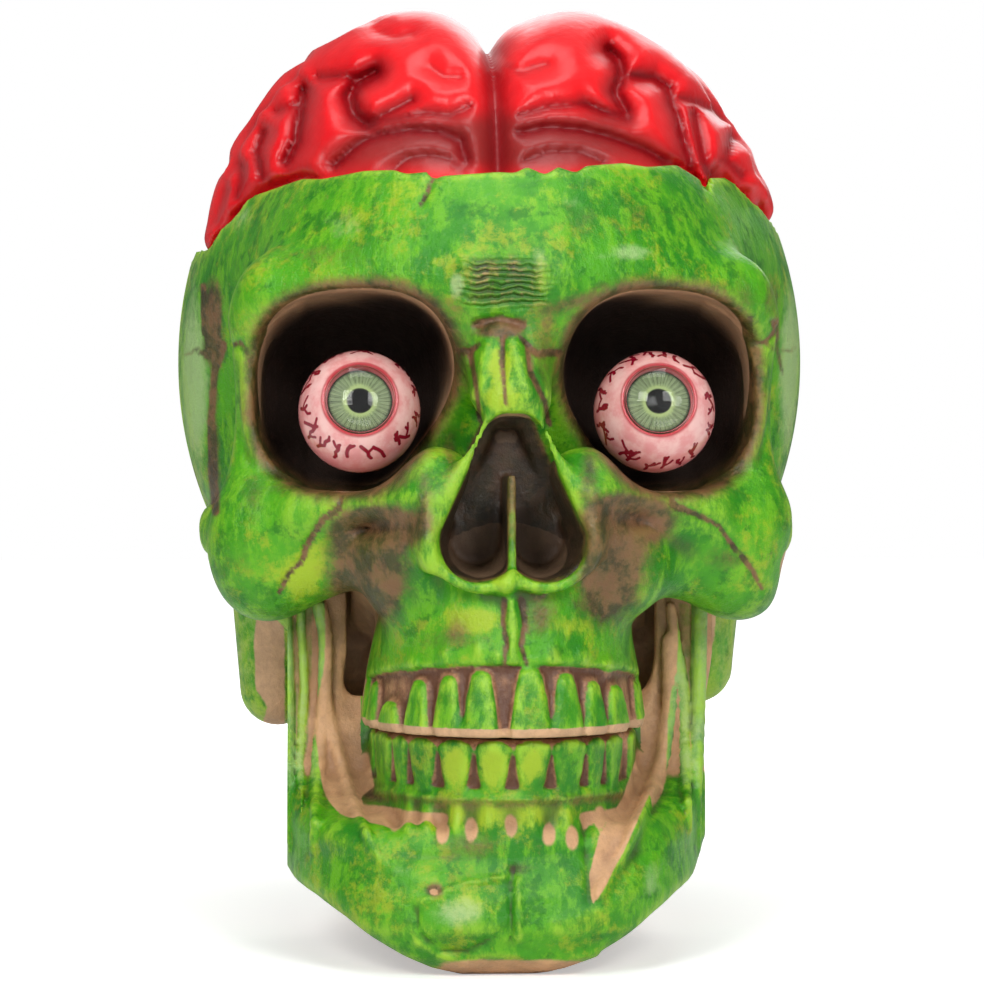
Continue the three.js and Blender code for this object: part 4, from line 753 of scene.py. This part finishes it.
# Pairs: height and depth, height and half width, y and the top's height, side and the border's height.
jaw_depth = [(0, 64), (4, 69), (10, 72), (17, 71), (25, 67), (33, 67.5), (42, 69)]
jaw_widest = 47.4
jaw_half = [(0, 43), (6, 45.5), (14, jaw_widest), (36, jaw_widest), (44, 46)]
jaw_top = [(-85, 31), (-72, 31), (-62, 32), (-52, 35.5), (-46, 39.5), (-42, 46), (-38, 56)]
jaw_border = [(0, 0), (8, 0), (14, 1.5), (20, 4.3), (26.5, 8), (32, 11.8), (38, 15.2), (43, 17), (46, 19.6),
              (48, 24)]
low_side = jaw_side(x, y, z)
border = look_up(low_side, jaw_border)
outer = jaw_arch(low_side + 1.8 * step_up(y, -38, -26), y, look_up(z, jaw_half), look_up(z, jaw_depth))
under = (border - z) * 0.8
body = carve(carve(outer, -under, 2), -(z - look_up(y, jaw_top)) * 0.7, 5)
body = most(body, -most(jaw_arch(low_side, y, 35, 61), z - 27))
body = carve(body, most(27 - z, -35.5 - y), 3)
lower_arch = {"half": [(30, 28.4), (36, 28.2), (42, 28.8), (50, 29.1)],
              "depth": [(30, 37.2), (36, 37.6), (42, 39.4), (50, 41.4)]}
out, angle = arch_place(x, y, z, lower_arch)
lower_line = {"half": 28.8, "depth": 40.5, "z": 46}
lower_radius = 35
crown_top = 49.4
lower_teeth = [(374, 390), (391, 406), (407, 435), (437, 472), (474, 512), (514, 552), (553, 588), (589, 607),
               (608, 624)]
raised = np.zeros(np.broadcast_shapes(out.shape, z.shape), dtype=np.float32)
spans = [(arch_angle(a, **lower_line), arch_angle(b, **lower_line)) for a, b in lower_teeth]
spans += [(sign * a, sign * (a + 0.2)) for sign in (-1, 1) for a in (1.19, 1.41, 1.63)]
for a, b in spans:
    share = np.clip((z - 37.2) / 11.5, 0, 1)
    reach = abs(b - a) / 2 * (0.35 + 0.68 * np.sqrt(share)) * lower_radius
    off = np.abs(angle - (a + b) / 2) * lower_radius
    crown = crown_top - 1.3 * np.clip(off / np.maximum(reach, 1), 0, 1) ** 3
    tooth = step_up(reach - off, -0.8, 1.0) * step_up(z, 36.4, 38.6) * step_up(crown - z, 0, 0.7)
    raised = np.maximum(raised, tooth)
sunk = 1.7 * step_up(z, 38.2, 39.6) * (1 - raised)
ring = most(out + sunk, -(out + 7.5), 24 - z, z - crown_top, y + 37)
body = join(body, ring, 4)
flank_outline = [(-39, 27), (-39, 78.8), (-35.8, 82), (-17.5, 84), (-16.5, 87.7), (-13.8, 90.5), (-10, 91.5),
                 (-6.2, 90.5), (-3.5, 87.7), (-2.5, 84), (-4, 48), (-10.8, 23), (-17.2, 20), (-34, 20)]
flank_middle, flank_half = 43.8, 1.8
flank = outline_distance(y + 0 * z, z + 0 * y, flank_outline)
body = join(body, most(flank, np.abs(low_side - flank_middle) - flank_half), 4)
for middle, half, top in ((39.9, 5.8, 78.8), (34, 5.5, 49)):
    cheek = most(np.abs(y + 37.2) - 1.7, np.abs(low_side - middle) - half, 26 - z, z - top)
    body = join(body, cheek, 4)
# Torn sinews: pixels of the photograph along each, then its radius in millimetres.
strand_paths = [
    (((284, 606), (286, 660), (288, 715), (289, 790), (292, 850)), 1.45),
    (((321, 606), (327, 640), (325, 700), (318, 772), (314, 850)), 1.5),
    (((326, 700), (337, 748), (354, 806), (376, 850), (396, 872)), 1.3),
    (((301, 606), (305, 690), (300, 760), (303, 810)), 0.6),
    (((701, 606), (699, 700), (697, 790), (698, 850)), 1.5),
    (((671, 606), (676, 645), (683, 690), (686, 760), (690, 830)), 1.2),
    (((669, 640), (670, 707), (662, 764), (645, 806), (625, 850), (600, 890)), 1.6),
]


def strand_spot(column, row):
    """The point on the jaw's wall, its slope or its front that is seen at a pixel."""
    wall_y, front_depth = -40.6, 67
    y = wall_y
    for _ in range(12):
        x, _, z = unseen(column, row, y)
        share = min(jaw_side(x, y, z) / jaw_widest, 1)
        front_y = jaw_rear - front_depth * (1 - share ** square) ** (1 / round_front)
        slope_y = look_up(-z, [(-top, place) for place, top in jaw_top[::-1]])
        y = (y + min(max(front_y, slope_y), wall_y)) / 2
    return unseen(column, row, y)


strands = []
for path, radius in strand_paths:
    columns, rows = zip(*path)
    spots = [strand_spot(np.interp(row, rows, columns), row) for row in np.linspace(rows[0], rows[-1], 18)]
    slimmer = look_up([spot[2] for spot in spots], [(20, 0.5), (36, 0.75), (44, 1)])
    strands += [(a, b, radius * share) for a, b, share in zip(spots[:-1], spots[1:], slimmer)]
for a, b, radius in strands:
    body = join(body, bar(x, y, z, a, b, radius), 0.8)
chin = Sheet(
    strokes=[
        ([(418, 903), (462, 884), (508, 876)], 3, -0.9),
        ([(416, 905), (418, 930), (436, 950), (466, 952), (506, 930)], 3, 0.9),
        ([(512, 868), (511, 942)], 2.5, 0.9), ([(518, 880), (518, 938)], 4, -0.9),
        ([(415, 942), (463, 966), (485, 955), (519, 955), (547, 966), (595, 954)], 4, -0.9),
        ([(662, 766), (645, 806), (624, 849), (598, 894)], 6, -1.4), ([(584, 830), (590, 900)], 4, 0.7),
        ([(376, 792), (440, 799), (500, 800), (560, 799), (624, 791)], 3, -0.7),
        ([(330, 840), (400, 870), (430, 880)], 14, -0.9), ([(670, 845), (620, 905), (560, 925)], 12, -0.7),
    ] + [([(column, 800), (column, 826)], 6, -0.7) for column in (408, 426, 456, 488, 533, 567)],
    spots=[((462, 915), (34, 22), -0.7, 3), ((434, 893), (8, 6), 0.8)]
    + [((column, 822), (9, 14), 0.7) for column in (471, 443, 511, 549, 585, 395)])
body = body + np.where((y < -42) & (z < 37.5), chin.read(x, y, z), 0)
hinge_line = (-10, 84)
pin_hole = bar(side, y, z, (30, *hinge_line), (50, *hinge_line), 2.3)
body = most(body, -pin_hole, z - 92, 0.05 - z)
jaw, jaw_points = mesh_of(body, jaw_axes, "jaw_moulding")
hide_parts("jaw")
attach(jaw, "jaw")
px, py, pz = points = jaw_points.T
p_side = np.abs(px)
p_strand = np.full(len(px), 1e3, dtype=np.float32)
for a, b, radius in strands:
    p_strand = np.minimum(p_strand, bar(px, py, pz, a, b, radius))
p_out = arch_place(px, py, pz, lower_arch)[0]
jaw_wash = Sheet(
    strokes=[([(372, 794), (440, 802), (500, 803), (560, 802), (628, 794)], 6, 0.4, "most")],
    spots=[((364, 778), (14, 22), 0.5), ((640, 770), (10, 20), 0.4), ((435, 890), (9, 7), 0.9),
           ((470, 845), (30, 14), 0.5), ((520, 868), (14, 8), 0.5)])
bare_roots = ((471, 830), (443, 832), (511, 826), (549, 834), (572, 838), (395, 820), (600, 818))
jaw_bare = Sheet(
    spots=[(root, (7, 13), 1.0) for root in bare_roots]
    + [((518, 977), (84, 17), 1.2, 4), ((434, 892), (5, 4), 0.9)],
    areas=[
        ([(640, 640), (668, 640), (669, 700), (661, 765), (642, 810), (624, 850), (603, 890), (593, 903),
          (589, 876), (600, 835), (622, 800), (636, 760)], 5, 1.0),
        ([(333, 610), (352, 630), (370, 690), (364, 730), (374, 786), (362, 796), (350, 762), (336, 700)],
         5, 1.0)])
brushed = Sheet(areas=[
    ([(288, 600), (316, 600), (311, 740), (300, 800), (284, 836), (286, 700)], 4, 1.0),
    ([(672, 600), (704, 600), (702, 836), (692, 800), (680, 700)], 4, 1.0)])
jaw_yellow = Sheet(spots=[
    ((302, 690), (14, 90), 0.8), ((688, 700), (12, 90), 0.7), ((455, 765), (14, 20), 1.0),
    ((492, 765), (14, 20), 1.0), ((532, 765), (14, 20), 0.9), ((500, 815), (110, 20), 0.7),
    ((470, 905), (30, 16), 0.6), ((600, 920), (40, 14), 0.4), ((330, 850), (30, 20), 0.4),
    ((515, 960), (20, 8), 0.6), ((585, 880), (20, 20), 0.5)])
# Pale paint on the chin, and a painted sheen on the chin's flat facet.
jaw_pale_and_sheen = Sheet(spots=[
    ((462, 912), (32, 20), 0.7), ((400, 870), (26, 10), 0.4), ((650, 880), (16, 26), 0.5)])
on_front = step_up(-py, 42, 46)
on_wall = step_up(pz, 36, 42) * step_up(p_side, 31, 33) * (py < -34)
before_wall = step_up(-py, 34, 36)
behind_teeth = 1 - step_up(pz, 32, 35) * (p_out > -5) * (p_side < 31)
inside = step_up(-jaw_arch(jaw_side(px, py, pz), py, 46, 70), 5, 8) * behind_teeth
unpainted = 1 - 0.55 * brushed.share(*points) * before_wall
stands = standing_out(jaw, 14)
note(jaw,
     # hollow: where the material darkens the surface with painted shade and wash.
     hollow=step_up(-stands, 0.06, 0.5),
     crest=step_up(stands, 0.12, 0.6),
     wrinkle=0,
     wash=jaw_wash.share(*points) * on_front,
     gap=step_up(pz, 37.5, 39.5) * step_up(-p_out, 0.6, 1.4) * (p_out > -5) * (py < -37),
     bare=most(on_wall * step_up(p_strand, 0.0, 0.4) * unpainted, inside, jaw_bare.share(*points) * on_front),
     # dark: painted shade high on the cheek wall between the sinews, under the cheekbone.
     dark=0.35 * on_wall * step_up(p_strand, 0.6, 2) * step_up(40 - py, 0, 1) * step_up(pz, 60, 82),
     yellow=jaw_yellow.share(*points) * before_wall,
     pale=most(0.6 * (1 - step_up(p_strand, 0.1, 0.8)) * step_up(pz, 30, 40),
               jaw_pale_and_sheen.share(*points) * on_front))
jaw.data.materials.append(painted("jaw_paint", (214, 166, 122)))

# Brain: a hollow, glossy, translucent red moulding with two folded lobes. It sits on the ledge inside the
# rim. The folds in front follow the photograph, those behind are furrows given by their directions.
brain_axes = [ticks(-71, 71, [(-71, 0.95), (71, 0.95)]), ticks(-66, 92, [(-66, 0.95), (10, 1.1), (40, 1.5)]),
              ticks(143, 213, [(143, 1.3), (158, 0.95), (213, 0.95)])]
x, y, z = np.meshgrid(*brain_axes, indexing="ij", sparse=True)
side = np.abs(x)
brain_lobe = {"middle": (21, 6, 158), "half": (46, 73.5, 53.5)}
brain_bridge = {"middle": (0, 6, 158), "half": (36, 71.5, 49.5)}
brain_cap = {"middle": (0, 12, 150), "half": (68.4, 75, 67.5)}


def brain_dome(side, y, z, grow):
    """The unfolded brain: two lobes and their bridge, kept inside one cap."""
    lobe, bridge, cap = (oval(side, y, z, part["middle"], [half + grow for half in part["half"]])
                         for part in (brain_lobe, brain_bridge, brain_cap))
    return carve(join(lobe, bridge, 4), -cap, 3)


cap_middle = np.array(brain_cap["middle"])
# Furrows of one side: degrees round from the front and degrees up, seen from the middle of the cap, then
# the depth in millimetres.
furrow_turns = [
    ([(46, 56), (36, 43), (34, 33), (31, 29), (27, 23), (28, 14)], 8),
    ([(31, 29), (21, 28), (10, 25), (5, 22)], 7.5),
    ([(31, 31), (26, 30)], 10),
    ([(70, 58), (46, 48), (44, 37), (46, 32), (38, 16)], 7),
    ([(50, 35), (58, 32), (57, 26), (51, 14)], 6.5),
    ([(64, 42), (72, 32), (69, 22), (68, 8)], 5),
    ([(14, 66), (33, 57), (46, 56)], 4.5),
    ([(41, 81), (66, 69), (94, 61), (90, 48), (84, 34), (88, 8)], 6),
    ([(149, 79), (128, 68), (114, 58), (112, 46)], 6),
    ([(104, 48), (108, 34), (104, 8)], 5.5),
    ([(167, 64), (148, 52), (130, 44), (122, 26), (121, 8)], 6),
    ([(172, 42), (154, 36), (138, 24), (139, 8)], 6),
    ([(174, 24), (158, 22), (156, 8)], 6),
    ([(27, 20), (19, 20.5), (11, 20.5), (5, 18.5)], 4.5),
    ([(15, 36), (11, 34), (7, 32)], 3),
    ([(40, 51), (27, 46), (23, 51)], 2.5),
    ([(24, 36), (29, 34), (33, 33)], 3),
    ([(39, 24), (45, 25), (50, 24)], 1.8),
    ([(56, 22), (62, 20), (68, 21)], 1.8),
    ([(76, 22), (92, 24), (104, 24)], 3),
    ([(122, 24), (110, 20), (104, 22)], 3),
    ([(60, 46), (76, 48), (90, 46)], 3),
]


def brain_reach(direction):
    """How far the unfolded brain's skin lies from the middle of its cap."""
    reaches = []
    for part in (brain_lobe, brain_bridge, brain_cap):
        half = np.array(part["half"])
        way = direction / half
        start = (cap_middle - np.array(part["middle"])) / half
        along = way @ start
        under_root = along ** 2 - way @ way * (start @ start - 1)
        reaches.append((math.sqrt(max(0, under_root)) - along) / (way @ way))
    return min(reaches[2], max(reaches[:2]))


def on_brain(turn, up):
    turn, up = math.radians(turn), math.radians(up)
    direction = np.array((math.sin(turn) * math.cos(up), -math.cos(turn) * math.cos(up), math.sin(up)))
    return cap_middle + direction * brain_reach(direction)


def fold_depth(x, y, z):
    """Depth of the folds: each furrow has a narrow bottom and wide, rounded shoulders."""
    depth = 0
    for turns, deep in furrow_turns:
        spots = [on_brain(*spot) for spot in turns]
        near = bar(x, y, z, spots[0], spots[1], 0)
        for a, b in zip(spots[1:-1], spots[2:]):
            near = np.minimum(near, bar(x, y, z, a, b, 0))
        width = 1.9 + deep * 0.33
        depth = np.maximum(depth, 1.2 * deep * np.exp(-np.sqrt(near ** 2 + 0.8) / width))
    return depth


# Folds of the front half: pixels of the photograph along each valley, then its depth in millimetres.
front_folds = [
    ([(376, 72), (357, 82), (349, 97), (355, 115), (367, 124)], 5.5),
    ([(367, 124), (390, 112), (412, 100)], 3.5),
    ([(318, 78), (345, 76), (358, 80)], 3.0), ([(304, 90), (300, 115), (297, 140), (286, 162)], 4.5),
    ([(335, 165), (360, 143), (380, 135), (410, 130), (440, 132), (460, 141), (466, 160)], 4.0),
    ([(367, 124), (400, 118), (425, 113), (450, 116), (470, 106)], 3.0),
    ([(378, 32), (395, 36), (412, 33)], 1.6),
    ([(430, 66), (443, 76), (460, 77)], 2.2), ([(276, 112), (297, 104)], 2.6),
    ([(264, 132), (257, 152), (262, 176)], 3.6), ([(242, 165), (241, 182), (237, 197)], 3.0),
    ([(393, 172), (405, 160), (425, 155), (450, 160), (460, 170)], 2.6),
    ([(226, 190), (221, 206), (215, 222)], 2.4),
    ([(608, 50), (618, 60), (622, 74), (615, 92), (626, 112)], 5.0),
    ([(585, 104), (605, 112), (628, 118)], 4.0),
    ([(518, 133), (550, 127), (580, 130), (610, 137), (645, 150), (665, 162)], 4.0),
    ([(505, 64), (520, 72), (546, 64)], 2.4), ([(518, 116), (550, 107), (585, 104)], 3.0),
    ([(632, 76), (654, 78), (668, 88), (672, 104), (677, 116), (683, 140), (692, 167)], 4.0),
    ([(680, 98), (700, 104), (722, 118)], 3.0), ([(732, 138), (726, 160), (742, 176)], 3.0),
    ([(695, 113), (700, 140), (706, 172)], 3.5), ([(523, 162), (550, 152), (580, 152), (602, 162)], 2.6),
]
# Each valley is drawn twice: a narrow bottom and wide shoulders.
folds = Sheet(strokes=[(places, 4.5, 0.35 * deep, "most") for places, deep in front_folds])
broad_folds = Sheet(strokes=[(places, 17, 0.7 * deep, "most") for places, deep in front_folds])


def pressed_in(x, y, z):
    """Depth of the folds: drawn ones in front, furrows from the turns behind."""
    share = step_up(8 - y, 0, 24)
    drawn_folds = folds.read(x, y, z) + broad_folds.read(x, y, z)
    return drawn_folds * share + fold_depth(np.abs(x), y, z) * (1 - share)


fissure = 9.5 * np.exp(-np.sqrt((x + 1.6) ** 2 + 0.8) / 2.9) * step_up(z, 156, 172)
pressed = np.maximum(pressed_in(x, y, z), fissure)
form = brain_dome(side, y, z, 1.2) + pressed
inside_rim = head_form(x, y, z) + wall + 0.9
form = carve(form, -(inside_rim - 1.3 * np.maximum(above_rim(x, y, z), 0)), 2)
brain_foot, brain_top = 152, 211.4
brain_room = most(brain_dome(side, y, z, -10), inside_rim + 3.5)
form = most(form, -brain_room, brain_foot - z, z - brain_top)
brain, brain_points = mesh_of(form, brain_axes, "brain_moulding")
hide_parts("brain")
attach(brain, "skull")
px, py, pz = points = brain_points.T
# deep: painted shade, darker red down in the folds and along the middle fissure.
deep = np.clip(pressed_in(*points) / 5, 0, 1)
dull = Sheet(spots=[((430, 142), (84, 30), 1.0, 3), ((566, 142), (76, 30), 1.0, 3),
                    ((330, 160), (40, 20), 0.35, 3), ((660, 158), (30, 20), 0.35, 3)])
note(brain, deep=most(step_up(deep, 0.15, 0.85), np.exp(-(px + 1.6) ** 2 / 9) * 0.9),
     dull=dull.share(*points) * step_up(-py, 10, 30))
red, red_shader, place, read = start_material("brain_plastic")
cloud = place.noise(60, 4, 0.6)
grain = place.noise(300, 4, 0.6, 0.4)
feed(red_shader, "Base Color", layered(cloud.ramp(0.35, 0.65).tinted((218, 18, 28), (236, 30, 36)), [
    ((read("dull") * 0.9 + cloud * 0.4 - 0.2).ramp(0.0, 0.9), (146, 40, 38)),
    # Painted shade in the folds.
    (read("deep") * 0.9, (126, 6, 16))]))
feed(red_shader, "Roughness", grain * 0.16 + 0.24 + read("dull") * 0.1)
red_shader.inputs["Subsurface Weight"].default_value = 0.35
red_shader.inputs["Subsurface Radius"].default_value = (1.0, 0.2, 0.2)
red_shader.inputs["Subsurface Scale"].default_value = 0.004
red_shader.inputs["Specular IOR Level"].default_value = 0.3
bump(red_shader, grain * 0.5 + cloud * 0.5, 0.0003)
brain.data.materials.append(red)

# Eyes: each is a bloodshot ball with a painted iris sunk in front under a clear dome. A stalk and a screw
# hold it. The veins are drawn at random on a flat sheet whose middle is the gaze.
eye = {"x": 31.5, "y": -62, "z": 117.7, "radius": 13, "tilt": math.radians(13), "iris": 7.2, "pocket": 7.5,
       "floor": 9.0}


def lathe(name, profile, turns, centre):
    """A mesh turned round the eye's axis from (radius, forward) points, looking forward and 13 degrees up."""
    angles = np.linspace(0, 2 * math.pi, turns, endpoint=False)
    radius, forward = np.array(profile, dtype=np.float64).T
    across = radius[:, None] * np.cos(angles)
    up = radius[:, None] * np.sin(angles)
    ahead = forward[:, None] + 0 * across
    lean = eye["tilt"]
    points = np.stack([centre[0] + across, centre[1] - ahead * math.cos(lean) + up * math.sin(lean),
                       centre[2] + ahead * math.sin(lean) + up * math.cos(lean)], axis=-1).reshape(-1, 3)
    flat = np.stack([across, up, ahead], axis=-1).reshape(-1, 3)
    count = len(profile)
    faces = []
    for i in range(count - 1):
        for j in range(turns):
            k = (j + 1) % turns
            faces.append((i * turns + j, i * turns + k, (i + 1) * turns + k, (i + 1) * turns + j))
    faces.append(tuple(range(turns))[::-1])
    faces.append(tuple((count - 1) * turns + j for j in range(turns)))
    data = bpy.data.meshes.new(name)
    data.from_pydata((points * mm).tolist(), [], faces)
    data.validate()
    data.shade_smooth()
    piece = bpy.data.objects.new(name, data)
    bpy.context.collection.objects.link(piece)
    return piece, flat


def ball_profile(start, end, radius, steps):
    """Points on a circle from one angle off the axis to another."""
    return [(radius * math.sin(a), radius * math.cos(a)) for a in np.linspace(start, end, steps)]


veins = Sheet()
chance = np.random.default_rng(7)
middle = picture / 2
spread = 5.2  # pixels of the sheet per degree off the gaze
vein_edge = 48


def grow_vein(theta, turn, width, steps, lean):
    """A wandering stroke towards the iris; theta counts degrees off the gaze."""
    path = []
    for _ in range(steps):
        path.append((middle + spread * theta * math.cos(turn), middle + spread * theta * math.sin(turn)))
        theta -= chance.uniform(3.2, 5.2)
        lean = lean * 0.5 + chance.uniform(-0.1, 0.1)
        turn += lean * 0.6
        if theta < vein_edge:
            break
    if len(path) > 1:
        veins.stroke(path, width, 1.0, "most")
    return path


for turn in np.arange(0, 2 * math.pi, 2 * math.pi / 22):
    start = turn + chance.uniform(-0.1, 0.1)
    begin_at = chance.uniform(72, 90) - 14 * max(0, math.sin(start))
    trunk = grow_vein(begin_at, start, 11.5, chance.integers(4, 7), chance.uniform(-0.06, 0.06))
    for _ in range(2):
        begin = trunk[chance.integers(1, max(2, len(trunk) - 1))]
        theta = math.hypot(begin[0] - middle, begin[1] - middle) / spread
        turned_to = math.atan2(begin[1] - middle, begin[0] - middle)
        grow_vein(theta, turned_to, 8.5, 3, chance.choice([-0.25, 0.25]))

white, white_shader, place, read = start_material("eye_white")
cloud = place.noise(220, 4, 0.6)
feed(white_shader, "Base Color", layered(cloud.ramp(0.35, 0.65).tinted((238, 190, 184), (226, 150, 148)), [
    # outer: painted shade, pinker where the ball turns away towards its edge.
    (read("ring") * 0.9, (176, 30, 44)), (read("outer") * 0.5, (206, 92, 100)),
    (read("vein").ramp(0.2, 0.6), (138, 14, 38))]))
feed(white_shader, "Roughness", cloud * 0.1 + 0.08)
bump(white_shader, cloud, 0.0001)
painted_iris, iris_shader, place, read = start_material("iris_paint")
fibre = place.noise(900, 3, 0.6)
radial = read("spoke") + fibre * 0.5
feed(iris_shader, "Base Color", layered(radial.ramp(0.35, 1.0).tinted((50, 62, 44), (122, 138, 100)), [
    ((read("heart") * 0.8 + fibre * 0.3 - 0.15).ramp(0.1, 0.9), (150, 168, 108)),
    (read("limb").ramp(0.0, 1.0), (22, 26, 20)), (read("pupil"), (3, 3, 3))]))
iris_shader.inputs["Specular IOR Level"].default_value = 0.1
feed(iris_shader, "Roughness", fibre * 0.1 + 0.3)
clear, clear_shader, place, _ = start_material("cornea_clear")
clear_shader.inputs["Transmission Weight"].default_value = 1.0
clear_shader.inputs["IOR"].default_value = 1.22
feed(clear_shader, "Roughness", place.noise(200) * 0.01)
glass = Shade(clear.node_tree, clear_shader.outputs["BSDF"])
shadow_ray = glass.node("ShaderNodeLightPath", {}, "Is Shadow Ray")
see_through = glass.node("ShaderNodeBsdfTransparent", {}, "BSDF")
mixed = glass.node("ShaderNodeMixShader", {0: shadow_ray, 1: glass, 2: see_through}, "Shader")
clear.node_tree.links.new(mixed.socket, clear.node_tree.nodes["Material Output"].inputs["Surface"])

pocket_angle = math.asin(eye["pocket"] / eye["radius"])
floor_at = eye["floor"] + 0.3
for name, sign in (("left", 1), ("right", -1)):
    centre = (sign * eye["x"], eye["y"], eye["z"])
    profile = [(0.05, eye["floor"]), (eye["pocket"] - 0.3, eye["floor"]), (eye["pocket"], floor_at),
               (eye["pocket"], eye["radius"] * math.cos(pocket_angle) - 0.4)]
    profile += ball_profile(pocket_angle + 0.03, math.pi - 0.004, eye["radius"], 130)
    globe, flat = lathe("globe_" + name, profile, 260, centre)
    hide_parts("eyeball_" + name)
    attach(globe, "skull")
    theta = np.degrees(np.arctan2(np.hypot(flat[:, 0], flat[:, 1]), flat[:, 2]))
    turn = np.arctan2(flat[:, 1], flat[:, 0]) * sign + (0.6 if sign > 0 else 0)
    column = np.clip(middle + spread * theta * np.cos(turn), 0, picture - 1).astype(int)
    row = np.clip(middle + spread * theta * np.sin(turn), 0, picture - 1).astype(int)
    note(globe, vein=veins.values[row, column] * step_up(theta, 42, vein_edge),
         # outer: painted shade towards the ball's edge.
         ring=step_up(40.5 - theta, 0, 3), outer=step_up(theta, 52, 88))
    globe.data.materials.append(white)
    rings = [(r, floor_at + 0.1 + 0.35 * (1 - (r / eye["iris"]) ** 2))
             for r in np.linspace(0.2, eye["iris"] - 0.1, 40)]
    rings += [(eye["iris"], floor_at + 0.05), (eye["iris"], floor_at), (0.02, floor_at)]
    disc, flat = lathe("iris_disc_" + name, rings, 180, centre)
    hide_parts("iris_" + name)
    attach(disc, "skull")
    reach = np.hypot(flat[:, 0], flat[:, 1])
    turn = np.arctan2(flat[:, 1], flat[:, 0])
    spoke = 0.5 + 0.12 * np.sin(turn * 37 + 2 * np.sin(turn * 5))
    spoke = spoke + 0.14 * np.sin(turn * 83 + 1.7 * np.sin(turn * 7 + 1))
    note(disc, spoke=spoke, heart=step_up(5.0 - reach, 0, 2.2), limb=step_up(reach, 6.2, 7.1) * 0.8,
         pupil=step_up(3.1 - reach, 0, 0.3))
    disc.data.materials.append(painted_iris)
    dome_low = floor_at + 0.9
    dome_edge = math.asin(eye["iris"] / eye["radius"])
    dome_profile = ball_profile(0.01, dome_edge, eye["radius"] - 0.02, 40)
    dome_profile += [(eye["iris"], dome_low), (0.02, dome_low)]
    dome, _ = lathe("clear_dome_" + name, dome_profile, 120, centre)
    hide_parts("cornea_" + name)
    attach(dome, "skull")
    dome.data.materials.append(clear)

# Hardware: the screws, pins, stalks, column, switch, door, cells, contacts, lamps and leads keep the part's
# own solids. Each look holds its darkest and lightest colour, roughness, metallic and scale of its grain.
hardware = {
    "bare_plastic": ((192, 152, 114), (204, 165, 126), 0.42, 0.0, 90),
    "black_plastic": ((22, 22, 23), (40, 40, 42), 0.38, 0.0, 160),
    "screw_steel": ((128, 128, 132), (186, 186, 190), 0.24, 1.0, 700),
    "contact_steel": ((170, 166, 156), (206, 202, 194), 0.2, 1.0, 500),
    "cell_jacket": ((34, 52, 96), (48, 72, 124), 0.3, 0.0, 120),
    "board_white": ((206, 206, 198), (226, 226, 220), 0.4, 0.0, 300),
    "lamp_clear": ((220, 90, 84), (236, 130, 120), 0.12, 0.0, 200),
    "wire_red": ((150, 24, 26), (184, 36, 36), 0.4, 0.0, 250),
    "wire_black": ((24, 24, 26), (42, 42, 44), 0.42, 0.0, 250),
}
for name, (dark, bright, rough, metal, grain) in hardware.items():
    _, shader, place, _ = start_material(name, reused=True)
    worn = place.noise(grain, 4, 0.6)
    feed(shader, "Base Color", worn.ramp(0.35, 0.65).tinted(dark, bright))
    feed(shader, "Roughness", worn * 0.2 + rough)
    shader.inputs["Metallic"].default_value = metal
    bump(shader, worn, 0.0001)
